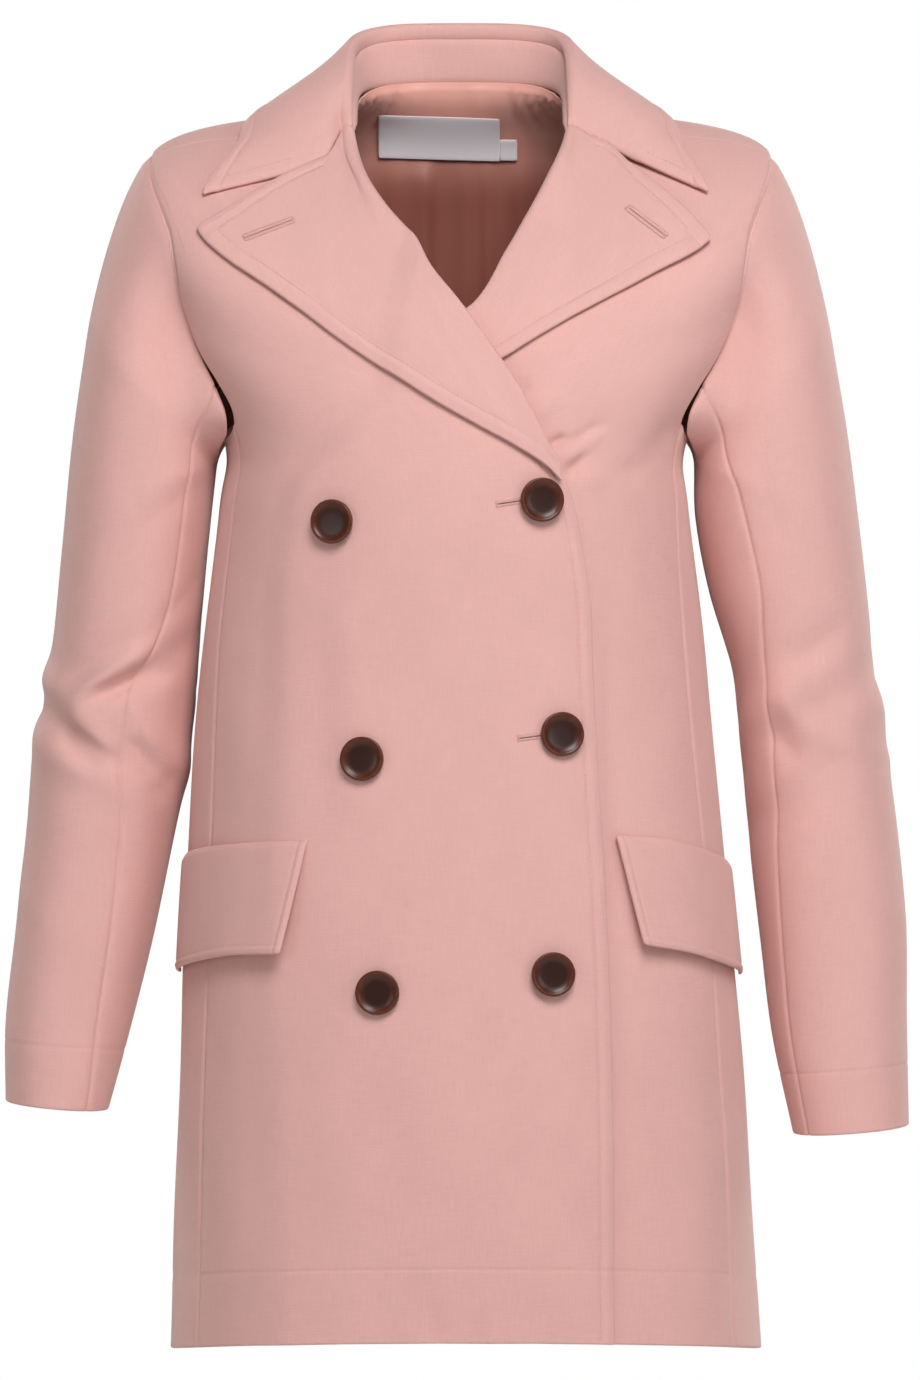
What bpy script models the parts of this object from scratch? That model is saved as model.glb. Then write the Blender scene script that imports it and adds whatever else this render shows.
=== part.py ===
"""Women's double-breasted jacket of thigh length, filled out as it is worn, with no wearer.

Millimetres in the tables, metres in the meshes.  +X is the wearer's left, -Y the front, +Z up.
The origin lies between the neck points of the shoulders, where the wearer carries the jacket.
A place on the body of the jacket is (angle, ring): the angle runs round the body from the centre
front (0 degrees) to the wearer's left (90) and the centre back (180), to the right it is negative;
the ring runs from 0 at the hem to 8 at the neck seam and 9 at the fold of the collar.
"""
import math

import bpy
import numpy as np
from mathutils import Vector

MM = 0.001

# Cloth and seams, mm
WALL = 2.2
DOUBLE_CLOTH = 2.6
SEAM_GAP = 0.3
LAYER_GAP = 0.8
LEAF_GAP = 1.9
SLEEVE_SEAM_GAP = 1.5
LINING_THICKNESS = 1.0
LABEL_THICKNESS = 1.0
SHOULDER_HALF_WIDTH = 194.0
NECK_HALF_WIDTH = 76.0
LENGTH_AT_SIDE = 766.0

# Rings of the body, hem to collar fold, mm.  The heights are at the centre front, side and back.
# Columns: z_front, z_side, z_back, half_width, front depth, back depth, squareness, shift to +X
BODY_RINGS = np.array((
    (-749, -LENGTH_AT_SIDE, -772, 184, 138, 130, 2.3, 3.5),     # hem
    (-600, -600, -600, 175, 137, 130, 2.3, 1.0),                # thigh
    (-470, -470, -470, 168, 134, 124, 2.3, -2.0),               # hip
    (-345, -345, -345, 157.5, 130, 110, 2.3, -4.5),             # waist
    (-245, -240, -240, 145, 134, 108, 2.4, -3.5),               # bust
    (-205, -192, -182, 144, 132, 108, 2.4, -2.0),               # underarm
    (-165, -105, -100, 180, 124, 104, 2.4, 0.0),                # middle of the armhole
    (-125, -20, -12, SHOULDER_HALF_WIDTH, 112, 96, 2.2, 0.0),   # shoulder point
    (-85, 0, 28, NECK_HALF_WIDTH, 85, 72, 2.2, 0.0),            # neck seam
    (-60, 24, 74, 67, 72, 67, 3.0, 0.0),                        # fold of the collar
), float)
NECK_RING = 8.0
FOLD_RING = 9.0
SHOULDER_RING = 7.0

# Soft hanging folds of the body: angle, ring of the middle, half width, half height, height in mm
BODY_FOLDS = (
    (58.0, 1.0, 9.0, 2.2, 3.0),
    (38.0, 0.4, 8.0, 1.6, -2.5),
    (-52.0, 0.8, 9.0, 2.0, 2.5),
    (-18.0, 0.3, 10.0, 1.4, -1.5),
    (48.0, 5.1, 10.0, 0.7, 2.5),
    (-50.0, 5.0, 12.0, 0.8, 2.0),
    (150.0, 1.0, 12.0, 2.4, 3.5),
    (-152.0, 0.8, 12.0, 2.2, 3.5),
    (178.0, 2.8, 16.0, 1.2, -3.0),
    (128.0, 5.2, 9.0, 0.8, 3.0),
    (-128.0, 5.2, 9.0, 0.8, 3.0),
)

# The seams of the side panels, degrees from the centre front
SIDE_SEAM_FRONT = 66.0
SIDE_SEAM_BACK = 118.0
SEAM_HALF_GAP = 0.06
# How the rows of a front run: drop of the roll line below the armhole's start, in rings; part of
# the upper rows that meets the front edge; part of the top that meets the neck, and its sag
EDGE_DROP = 0.15
EDGE_PART = 0.3
NECK_PART = 0.28
GORGE_SAG = 0.09

# Armhole: turn (0 at the shoulder point, 180 under the arm), ring, reach to the front and back
ARMHOLE = (
    (0.0, 7.00, 0.0, 0.0),
    (20.0, 6.94, 12.0, 11.0),
    (40.0, 6.78, 18.5, 16.5),
    (60.0, 6.50, 20.0, 18.0),
    (85.0, 6.10, 18.8, 18.0),
    (105.0, 5.77, 20.5, 19.5),
    (120.0, 5.53, 24.0, 22.5),
    (135.0, 5.32, 26.0, 25.0),
    (150.0, 5.12, 23.0, 24.0),
    (165.0, 5.00, 13.0, 14.0),
    (180.0, 4.96, 0.0, 0.0),
)

# Front edge of the right front, which laps over, and of the left front, which is mostly hidden:
# ring, angle.  The last row is where the lapel breaks.
FRONT_EDGE_RIGHT = ((0.0, 35.4), (1.4, 36.6), (2.4, 36.2), (3.3, 35.2), (3.8, 31.9))
FRONT_EDGE_LEFT = ((0.0, -36.0), (1.4, -37.0), (3.2, -36.5), (4.2, -32.0), (5.1, -21.0), (5.8, -9.5))

# The right front stands out over the left front's edge, from this many degrees before it, and the
# step fades at the neck.  It also stands out at its break: half width, ring, half height, height.
LAP_RAMP_START = 15.0
LAP_RAMP_SPAN = 10.0
LAP_FADE_RING = 7.0
LAP_FADE = (-75.0, 40.0)
BREAK_BULGE = (22.0, 6.3, 1.2, 5.2)

# Roll lines from the break to the collar: angle, ring
ROLL_RIGHT = (
    (31.9, 3.80), (27.5, 4.37), (21.7, 5.08), (14.9, 5.83), (8.6, 6.37), (0.0, 6.97),
    (-10.5, 7.47), (-20.4, 7.91), (-38.0, 8.15), (-55.0, 8.32), (-70.0, 8.50),
)
ROLL_LEFT = (
    (-9.5, 5.80), (-3.5, 6.42), (0.9, 6.90), (4.7, 7.04), (19.0, 7.70), (37.0, 8.08),
    (54.0, 8.28), (70.0, 8.50),
)
# Outlines of the lapels, mm across and up as seen from the front: break to tip, then tip to collar
LAPEL_RIGHT_EDGE = (
    (68, -240), (50, -219), (36, -204), (18, -190), (-6, -176), (-42, -147),
    (-85, -123), (-128, -97), (-157, -74),
)
LAPEL_RIGHT_TIP = (-160.5, -69.5)
LAPEL_RIGHT_TOP = ((-144, -59), (-130, -50), (-102, -36), (-84, -28.5))
LAPEL_LEFT_EDGE = ((-12, -168), (3, -163), (18, -156), (64, -124), (108, -100), (151, -78))
LAPEL_LEFT_TIP = (153, -76.5)
LAPEL_LEFT_TOP = ((147, -68), (116, -38.5), (88, -17.5))
ROLL_GAP = 3.8
LAPEL_ROLL_RADIUS = 4.6
# The leaf of a lapel lies this much lower at the gorge, from this share of the roll line on
LAPEL_GORGE_DROP = 1.2
LAPEL_DROP_START = 0.7
LAPEL_DROP_SPAN = 0.2
LAPEL_START_SHARE = 0.06
LAPEL_ROLL_RADIUS_AT_BREAK = 2.8
LAPEL_ROLL_BENDS = (0.0, 10.0, 55.0, 100.0, 142.0)

# Collar: stand seam at this share of the way from the neck seam to the fold
STAND_SHARE = 0.72
STAND_FOOT = 0.095
STAND_HEAD = 0.012
COLLAR_ROLL_RADIUS = 4.3
COLLAR_END_ANGLE = 74.0
COLLAR_END_SPAN = 26.0
# Ring of the fold, and of the neck seam, which climbs to the roll line before the shoulder, by angle
COLLAR_FOLD = ((70.0, 8.66), (80.0, 8.85), (95.0, 8.98), (110.0, FOLD_RING), (180.0, FOLD_RING))
NECK_SEAM = ((70.0, 8.62), (76.0, 8.36), (84.0, 8.1), (90.0, NECK_RING), (180.0, NECK_RING))
# Pull of the fall's curve: down and out at the fold, along the cloth at the edge, parts of its length
FALL_PULL = (0.30, 0.12, 0.25)
NOTCH_STAND_OFF = 2.0
# Outer edge of the collar from the tip to the centre back: angle of the fold, angle, ring, stand-off
COLLAR_EDGE_RIGHT = (
    (-74.0, -72.7, 7.22, 1.5), (-82.0, -78.7, 7.38, 2.5), (-92.0, -86.5, 7.49, 3.0),
    (-112.0, -108.0, 7.52, 3.5), (-145.0, -144.0, 7.46, 3.0), (-180.0, -180.0, 7.42, 2.5),
)
COLLAR_EDGE_LEFT = (
    (74.0, 72.5, 7.27, 1.5), (82.0, 78.4, 7.40, 2.5), (92.0, 86.5, 7.49, 3.0),
    (112.0, 108.0, 7.52, 3.5), (145.0, 144.0, 7.46, 3.0), (180.0, 180.0, 7.42, 2.5),
)
NOTCH_RIGHT = (-70.3, 7.87)
NOTCH_LEFT = (78.6, 7.90)

# Sleeves below the armhole: z_outer, z_inner, x_outer, x_inner, y_centre, half_depth, mm
SLEEVE_RIGHT = np.array((
    (-132, -214, -235, -153.5, 0, 66),
    (-195, -245, -244, -157, 2, 64),
    (-265, -290, -251, -161.5, 6, 61),
    (-330, -345, -258, -166, 10, 58.5),
    (-385, -398, -269, -171.5, 13, 56.5),
    (-440, -452, -273.5, -182, 10, 54),
    (-500, -511, -279.5, -194, 3, 51),
    (-560, -570, -285.5, -208.5, -7, 47.5),
    (-609, -615, -285, -220.5, -15, 45),
), float)
SLEEVE_LEFT = np.array((
    (-132, -212, 234, 147.5, 0, 66),
    (-195, -245, 244.5, 148.5, 2, 65),
    (-265, -290, 253.5, 157, 6, 62),
    (-330, -345, 261, 173, 10, 59),
    (-385, -400, 268.5, 178.5, 12, 57),
    (-440, -452, 276, 183, 10, 55),
    (-500, -511, 281, 189.5, 4, 52),
    (-560, -570, 281, 196.5, -5, 49),
    (-624, -630, 281.5, 209, -15, 46),
), float)
SLEEVE_SQUARENESS = 2.2
SLEEVE_SEAM_HALF_GAP = 0.16
# How a sleeve leaves the armhole: it turns from the shoulder's slope to straight out from this turn
# on, over this span; pull of its curve at the armhole and at the first row, parts of its length
SLEEVE_TURN_START = 75.0
SLEEVE_TURN_SPAN = 95.0
SLEEVE_PULL = (0.55, 1.0)
# Front seam of each sleeve: section of the sleeve (0 at the armhole, 1 the first row above), turn
SLEEVE_SEAM_RIGHT = (
    (0.0, 120.0), (1.0, 132.0), (2.2, 131.0), (3.2, 127.0), (3.9, 112.0), (4.3, 98.0),
    (5.0, 100.0), (6.0, 110.0), (7.5, 118.0), (9.0, 130.0),
)
SLEEVE_SEAM_LEFT = (
    (0.0, 120.0), (1.0, 128.0), (2.0, 118.0), (3.0, 114.0), (4.0, 126.0), (5.0, 128.0),
    (6.0, 132.0), (7.0, 137.0), (9.0, 141.0),
)
SLEEVE_SEAM_BACK = 236.0
# Folds of the sleeves: turn, section, half turn, half length, lean in sections per degree, height mm
SLEEVE_FOLDS_RIGHT = (
    (30.0, 4.35, 60.0, 0.20, 0.004, 4.0),
    (55.0, 4.75, 45.0, 0.20, 0.006, -4.5),
    (60.0, 5.15, 55.0, 0.22, 0.005, 3.5),
    (120.0, 3.9, 40.0, 0.22, -0.008, -4.0),
    (150.0, 5.0, 45.0, 0.25, 0.004, 3.0),
    (250.0, 4.4, 50.0, 0.25, 0.003, 3.5),
    (290.0, 4.9, 50.0, 0.25, -0.003, -3.0),
)
SLEEVE_FOLDS_LEFT = (
    (20.0, 4.6, 60.0, 0.28, -0.004, 2.5),
    (60.0, 4.3, 50.0, 0.25, 0.006, -3.0),
    (120.0, 4.3, 45.0, 0.25, 0.006, 3.5),
    (130.0, 5.6, 40.0, 0.25, 0.004, -2.5),
    (250.0, 4.5, 50.0, 0.25, 0.003, 3.5),
    (290.0, 5.0, 50.0, 0.25, -0.003, -3.0),
)

# Pocket flaps: (angle, ring) of the corners and of the middle of their long sides
FLAP_RIGHT_TOP = ((-37.0, 2.19), (-53.0, 2.17), (-65.0, 2.15), (-77.0, 2.12), (-92.0, 2.06))
FLAP_RIGHT_BOTTOM = ((-41.6, 1.66), (-52.0, 1.65), (-62.0, 1.62), (-79.0, 1.56), (-94.0, 1.52))
FLAP_LEFT_TOP = ((40.7, 2.21), (50.0, 2.20), (60.0, 2.16), (72.0, 2.11), (88.0, 2.04))
FLAP_LEFT_BOTTOM = ((44.5, 1.70), (54.2, 1.66), (63.0, 1.61), (75.0, 1.56), (90.0, 1.51))
FLAP_SPRING = 1.2
FLAP_STAND_OFF_RIGHT = 9.0
FLAP_STAND_OFF_LEFT = 4.0

# Buttons: 27 mm across, on the right front, mm across and up as seen from the front
BUTTON_RADIUS = 13.5
BUTTON_PLACES = (
    (-75, -250), (48, -237),
    (-58, -395), (60, -380),
    (-49, -537), (55, -526),
)
# Profile of a button from the middle of its face to the foot of its shank: radius, height
BUTTON_PROFILE = (
    (0.0, 4.3), (8.6, 4.4), (11.0, 5.7), (12.8, 5.3), (BUTTON_RADIUS, 3.9), (12.4, 2.3),
    (3.0, 1.9), (2.4, 0.0), (0.0, 0.0),
)
BUTTON_STEPS = 18

# Lining seen through the neck, and the two blank labels: x and z of the middle, width and height, mm
LINING_GAP = 0.7
LINING_PLEAT = (-168.5, 3.2, 2.4)
LABEL_STAND_OFF = 2.2
LABEL_DEPTH = LINING_GAP + LINING_THICKNESS + LABEL_STAND_OFF
NECK_LABEL = (-13.5, 3.5, 78.0, 27.0)
SIZE_LABEL = (31.5, -2.5, 10.5, 13.5)

COLOURS = {
    "wool": (0.78, 0.50, 0.44, 1.0),
    "lining": (0.62, 0.37, 0.34, 1.0),
    "label": (0.72, 0.62, 0.66, 1.0),
    "horn": (0.055, 0.016, 0.010, 1.0),
}


def smoothstep(value):
    """Ease from 0 to 1."""
    value = min(max(value, 0.0), 1.0)
    return value * value * (3.0 - 2.0 * value)


def along(table, key):
    """Smooth value of a table at key; the first column is the key, the others are returned."""
    rows = np.array(table, float)
    if rows[0, 0] > rows[-1, 0]:
        rows = rows[::-1]
    keys = rows[:, 0]
    values = rows[:, 1:]
    key = min(max(key, keys[0]), keys[-1])
    i = min(max(int(np.searchsorted(keys, key, side="right")) - 1, 0), len(keys) - 2)
    rises = np.diff(values, axis=0) / np.diff(keys)[:, None]
    slopes = np.vstack((rises[:1], np.zeros_like(rises[1:]), rises[-1:]))
    for k in range(1, len(rises)):
        before, after = rises[k - 1], rises[k]
        same = before * after > 0
        slopes[k, same] = 2 * before[same] * after[same] / (before[same] + after[same])
    step = keys[i + 1] - keys[i]
    t = (key - keys[i]) / step
    start = (2 * t**3 - 3 * t**2 + 1) * values[i] + (t**3 - 2 * t**2 + t) * step * slopes[i]
    end = (3 * t**2 - 2 * t**3) * values[i + 1] + (t**3 - t**2) * step * slopes[i + 1]
    return start + end


def by_share(points, share):
    """Smooth point of an outline at a share of its length, 0 at the first point and 1 at the last."""
    points = np.array(points, float)
    steps = np.linalg.norm(np.diff(points, axis=0), axis=1)
    keys = np.concatenate(((0.0,), np.cumsum(steps))) / steps.sum()
    return along(np.column_stack((keys, points)), share)


def rings_at(table, place):
    """Row of a table of sections at a place between its rows, smooth, and straight past its ends."""
    last = len(table) - 1
    i = min(max(int(math.floor(place)), 0), last - 1)
    t = place - i
    here, there = table[i], table[i + 1]
    before = table[i - 1] if i > 0 else 2 * here - there
    after = table[i + 2] if i + 2 <= last else 2 * there - here
    slope_here = (there - before) / 2
    slope_there = (after - here) / 2
    return (
        (2 * t**3 - 3 * t**2 + 1) * here
        + (t**3 - 2 * t**2 + t) * slope_here
        + (3 * t**2 - 2 * t**3) * there
        + (t**3 - t**2) * slope_there
    )


def body_fold(angle, ring):
    """Height in mm of the hanging folds at a place on the body."""
    height = 0.0
    for fold_angle, fold_ring, half_width, half_height, size in BODY_FOLDS:
        across = ((angle - fold_angle + 180.0) % 360.0 - 180.0) / half_width
        up = (ring - fold_ring) / half_height
        height += size * math.exp(-across * across - up * up)
    return height


def body(angle, ring):
    """Inside face of the cloth at an angle (degrees) and ring, in mm."""
    z_front, z_side, z_back, half_width, front, back, square, shift = rings_at(BODY_RINGS, ring)
    turn = math.radians(angle)
    sine, cosine = math.sin(turn), math.cos(turn)
    depth = front if cosine > 0 else back
    reach = (abs(sine / half_width) ** square + abs(cosine / depth) ** square) ** (-1.0 / square)
    reach += body_fold(angle, ring)
    x, y = reach * sine, -reach * cosine
    bend = ((z_back - z_side) / back + (z_front - z_side) / front) / (front + back)
    tilt = (z_back - z_side) / back - bend * back
    return np.array((x + shift, y, z_side + tilt * y + bend * y * y))


def body_normal(angle, ring):
    """Outward direction of the cloth at a place on the body."""
    step_angle, step_ring = 0.2, 0.01
    across = body(angle + step_angle, ring) - body(angle - step_angle, ring)
    up = body(angle, ring + step_ring) - body(angle, ring - step_ring)
    normal = np.cross(across, up)
    return normal / np.linalg.norm(normal)


def above(angle, ring, height):
    """Point a height in mm outside the inside face of the cloth."""
    return body(angle, ring) + body_normal(angle, ring) * height


def on_front(x, z, start):
    """Angle and ring of the place that shows at x and z (mm) from the front, near a start."""
    angle, ring = start
    for _ in range(40):
        miss = body(angle, ring)[[0, 2]] - (x, z)
        if abs(miss).max() < 0.01:
            break
        by_angle = (body(angle + 0.05, ring)[[0, 2]] - body(angle, ring)[[0, 2]]) / 0.05
        by_ring = (body(angle, ring + 0.005)[[0, 2]] - body(angle, ring)[[0, 2]]) / 0.005
        step = np.linalg.solve(np.column_stack((by_angle, by_ring)), -miss)
        angle += float(np.clip(step[0], -12.0, 12.0))
        ring += float(np.clip(step[1], -0.3, 0.3))
    return angle, ring


def places_on_front(outline, start):
    """Places of an outline, each searched for from the one before it."""
    places = []
    for x, z in outline:
        start = on_front(x, z, start)
        places.append(start)
    return places


def lift_right(angle, ring):
    """How far the right front stands out, in mm, to clear the left front and lapel below it."""
    edge = float(along(FRONT_EDGE_LEFT, min(ring, FRONT_EDGE_LEFT[-1][0]))[0])
    lap = (WALL + LAYER_GAP) * smoothstep((angle - edge + LAP_RAMP_START) / LAP_RAMP_SPAN)
    if ring > LAP_FADE_RING:
        lap *= smoothstep((angle - LAP_FADE[0]) / LAP_FADE[1])
    half_width, bulge_ring, half_height, bulge = BREAK_BULGE
    across, up = angle / half_width, (ring - bulge_ring) / half_height
    return lap + bulge * math.exp(-across * across - up * up)


def lift_none(_angle, _ring):
    """The other panels lie on the form itself."""
    return 0.0


def armhole(turn, side):
    """Place on the body of the armhole seam; turn 0 is the top, 90 the front, 270 the back."""
    turn = turn % 360.0
    front = turn <= 180.0
    ring, reach_front, reach_back = along(ARMHOLE, turn if front else 360.0 - turn)
    angle = 90.0 - reach_front if front else 90.0 + reach_back
    return side * angle, ring


def turn_at_angle(angle, front):
    """Turn under the arm at which the armhole crosses the side seam at this angle."""
    low, high = 140.0, 180.0
    for _ in range(30):
        middle = (low + high) / 2
        reach = along(ARMHOLE, middle)[1 if front else 2]
        if reach > abs(angle - 90.0):
            low = middle
        else:
            high = middle
    return low if front else 360.0 - low


def patch(bottom, top, left, right, columns, rows):
    """Grid of places between four sides, each a function of a share from 0 to 1."""
    corners = bottom(0.0), bottom(1.0), top(0.0), top(1.0)
    grid = []
    for row in range(rows + 1):
        w = row / rows
        line = []
        for column in range(columns + 1):
            u = column / columns
            sides = (1 - w) * bottom(u) + w * top(u) + (1 - u) * left(w) + u * right(w)
            inner = (1 - u) * (1 - w) * corners[0] + u * (1 - w) * corners[1]
            inner = inner + (1 - u) * w * corners[2] + u * w * corners[3]
            line.append(sides - inner)
        grid.append(line)
    return grid


def line_between(first, last):
    """Straight side of a patch."""
    first, last = np.array(first, float), np.array(last, float)
    return lambda share: first + (last - first) * share


def polyline(points, breaks):
    """Side of a patch through points at given shares."""
    points = np.array(points, float)
    return lambda share: np.array([np.interp(share, breaks, points[:, k]) for k in range(2)])


def new_material(name):
    """Principled material in the garment's colour."""
    material = bpy.data.materials.new(name)
    material.use_nodes = True
    shader = material.node_tree.nodes["Principled BSDF"]
    shader.inputs["Base Color"].default_value = COLOURS[name]
    shader.inputs["Roughness"].default_value = 0.25 if name == "horn" else 0.8
    return material


def add_sheet(name, grid, thickness, material, outward, offset=1.0):
    """Open grid of points in mm made a cloth wall; outward is the way its middle faces."""
    rows, columns = len(grid), len(grid[0])
    points = [Vector(point) * MM for line in grid for point in line]
    row, column = rows // 2, columns // 2
    here = row * columns + column
    across = points[here] - points[here - 1]
    up = points[here] - points[here - columns]
    flipped = across.cross(up).dot(Vector(outward)) < 0
    faces = []
    for r in range(rows - 1):
        for c in range(columns - 1):
            first = r * columns + c
            face = (first, first + 1, first + columns + 1, first + columns)
            faces.append(face[::-1] if flipped else face)
    mesh = bpy.data.meshes.new(name)
    mesh.from_pydata([tuple(point) for point in points], [], faces)
    mesh.materials.append(material)
    mesh.shade_smooth()
    piece = bpy.data.objects.new(name, mesh)
    jacket.objects.link(piece)
    wall = piece.modifiers.new("cloth thickness", "SOLIDIFY")
    wall.thickness = thickness * MM
    wall.offset = offset
    return piece


def roll_share_at(roll, ring):
    """Share of the roll line at which it passes a ring."""
    low, high = 0.0, 1.0
    for _ in range(30):
        middle = (low + high) / 2
        if by_share(roll, middle)[1] < ring:
            low = middle
        else:
            high = middle
    return low


def front_panel(name, side, edge, roll, lift, material):
    """Front from its edge and roll line to the side seam, the armhole, shoulder and neck."""
    columns, rows_low, rows_middle, rows_high = 12, 13, 4, 12
    seam = side * (SIDE_SEAM_FRONT - SEAM_HALF_GAP)
    seam_turn = turn_at_angle(abs(seam), True)
    seam_top = float(along(ARMHOLE, seam_turn)[0])
    break_ring = edge[-1][0]

    def edge_at(ring):
        """Place on the front edge at a ring."""
        return np.array((float(along(edge, ring)[0]), ring))

    # The lower part ends at the break, or where the armhole starts if that is lower.
    base = min(break_ring, seam_top)
    rows = [(edge_at(ring), (seam, ring)) for ring in np.linspace(0.0, base, rows_low + 1)]
    if break_ring < seam_top:
        roll_share = roll_share_at(roll, seam_top - EDGE_DROP)
        for k in range(1, rows_middle + 1):
            rise = k / rows_middle
            rows.append((by_share(roll, roll_share * rise), (seam, base + (seam_top - base) * rise)))

    def inner_side(w):
        """Boundary above the start of the armhole: what is left of the edge, then the roll line."""
        if break_ring < seam_top:
            return by_share(roll, roll_share + (1 - roll_share) * w)
        if w < EDGE_PART:
            return edge_at(seam_top + (break_ring - seam_top) * w / EDGE_PART)
        return by_share(roll, (w - EDGE_PART) / (1 - EDGE_PART))

    def outer_side(w):
        """Armhole from the side seam to the shoulder point."""
        return np.array(armhole(seam_turn * (1 - w), side))

    grid = [[line_between(*row)(c / columns) for c in range(columns + 1)] for row in rows]
    shoulder = (side * 90.0, SHOULDER_RING)
    neck = (side * 90.0, NECK_RING)
    gorge = inner_side(1.0)
    gorge_middle = ((gorge[0] + neck[0]) / 2, (gorge[1] + neck[1]) / 2 - GORGE_SAG)
    top = polyline((gorge, gorge_middle, neck, shoulder), (0.0, NECK_PART / 2, NECK_PART, 1.0))
    bottom = line_between(inner_side(0.0), outer_side(0.0))
    grid.extend(patch(bottom, top, inner_side, outer_side, columns, rows_high)[1:])
    shoulder_angle = 90.0 - 2 * SEAM_HALF_GAP
    points = []
    for line in grid:
        row_points = []
        for angle, ring in line:
            angle = min(max(angle, -shoulder_angle), shoulder_angle)
            row_points.append(above(angle, ring, lift(angle, ring)))
        points.append(row_points)
    return add_sheet(name, points, WALL, material, (0, -1, 0.2))


def side_panel(name, side, material):
    """Panel under the arm between the two side seams."""
    first = SIDE_SEAM_FRONT + SEAM_HALF_GAP
    last = SIDE_SEAM_BACK - SEAM_HALF_GAP
    turn_front = turn_at_angle(first, True)
    turn_back = turn_at_angle(last, False)
    columns, rows = 7, 16
    grid = []
    for row in range(rows + 1):
        line = []
        for column in range(columns + 1):
            share = column / columns
            angle = first + (last - first) * share
            turn = turn_front + (turn_back - turn_front) * share
            top_angle, top_ring = armhole(turn, 1)
            height = row / rows
            ease = height**6
            line.append(above(side * (angle + (top_angle - angle) * ease), top_ring * height, 0.0))
        grid.append(line)
    return add_sheet(name, grid, WALL, material, (side, 0, 0))


def back_grid(rows_low):
    """Places of the back between the side seams, armholes, shoulders and neck; rows_low are the
    rows below the armholes."""
    columns, rows_high = 16, 11
    first = SIDE_SEAM_BACK + SEAM_HALF_GAP
    seam_turn = turn_at_angle(first, False)
    seam_top = float(along(ARMHOLE, 360.0 - seam_turn)[0])
    grid = []
    for ring in np.linspace(0.0, seam_top, rows_low + 1)[:-1]:
        side = line_between((first, ring), (360.0 - first, ring))
        grid.append([side(c / columns) for c in range(columns + 1)])

    def left(w):
        return np.array(armhole(seam_turn + (360.0 - seam_turn) * w, 1))

    def right(w):
        angle, ring = left(w)
        return np.array((360.0 - angle, ring))

    top = polyline(
        [(90.0, SHOULDER_RING), (90.0, NECK_RING), (135.0, NECK_RING), (180.0, NECK_RING),
         (225.0, NECK_RING), (270.0, NECK_RING), (270.0, SHOULDER_RING)],
        (0.0, 5 / 16, 6.5 / 16, 0.5, 9.5 / 16, 11 / 16, 1.0))
    bottom = line_between(left(0.0), right(0.0))
    grid.extend(patch(bottom, top, left, right, columns, rows_high))
    return grid


def back_angle(angle):
    """Angle of a place on the back, kept half a seam gap behind the shoulder seams."""
    return min(max(angle, 90.0 + 2 * SEAM_HALF_GAP), 270.0 - 2 * SEAM_HALF_GAP)


def back_panel(material):
    """Back in one piece."""
    points = []
    for line in back_grid(12):
        row_points = []
        for angle, ring in line:
            row_points.append(above(back_angle(angle), ring, 0.0))
        points.append(row_points)
    return add_sheet("back", points, WALL, material, (0, 1, 0))


def back_lining(material):
    """Lining inside the back, as far down as the neck shows it, with its centre pleat."""
    pleat_angle, pleat_half, pleat_height = LINING_PLEAT
    points = []
    for line in back_grid(0):
        row_points = []
        for angle, ring in line:
            angle = back_angle(angle)
            across = (angle - 360.0 - pleat_angle) / pleat_half
            raised = pleat_height * math.exp(-across * across)
            row_points.append(above(angle, ring, -(LINING_GAP + raised)))
        points.append(row_points)
    return add_sheet("lining_back", points, LINING_THICKNESS, material, (0, 1, 0), -1.0)


def label(name, size, material):
    """Blank woven label on the lining below the neck seam."""
    middle_x, middle_z, width, height = size
    columns, rows = (6, 2) if width > 2 * height else (1, 1)
    grid = []
    for row in range(rows + 1):
        line = []
        for column in range(columns + 1):
            x = middle_x + width * (column / columns - 0.5)
            z = middle_z + height * (row / rows - 0.5)
            angle, ring = on_front(x, z, (180.0 - math.degrees(math.atan2(x, 75.0)), 7.6))
            line.append(above(angle, ring, -LABEL_DEPTH))
        grid.append(line)
    return add_sheet(name, grid, LABEL_THICKNESS, material, (0, 1, 0), -1.0)


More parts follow.
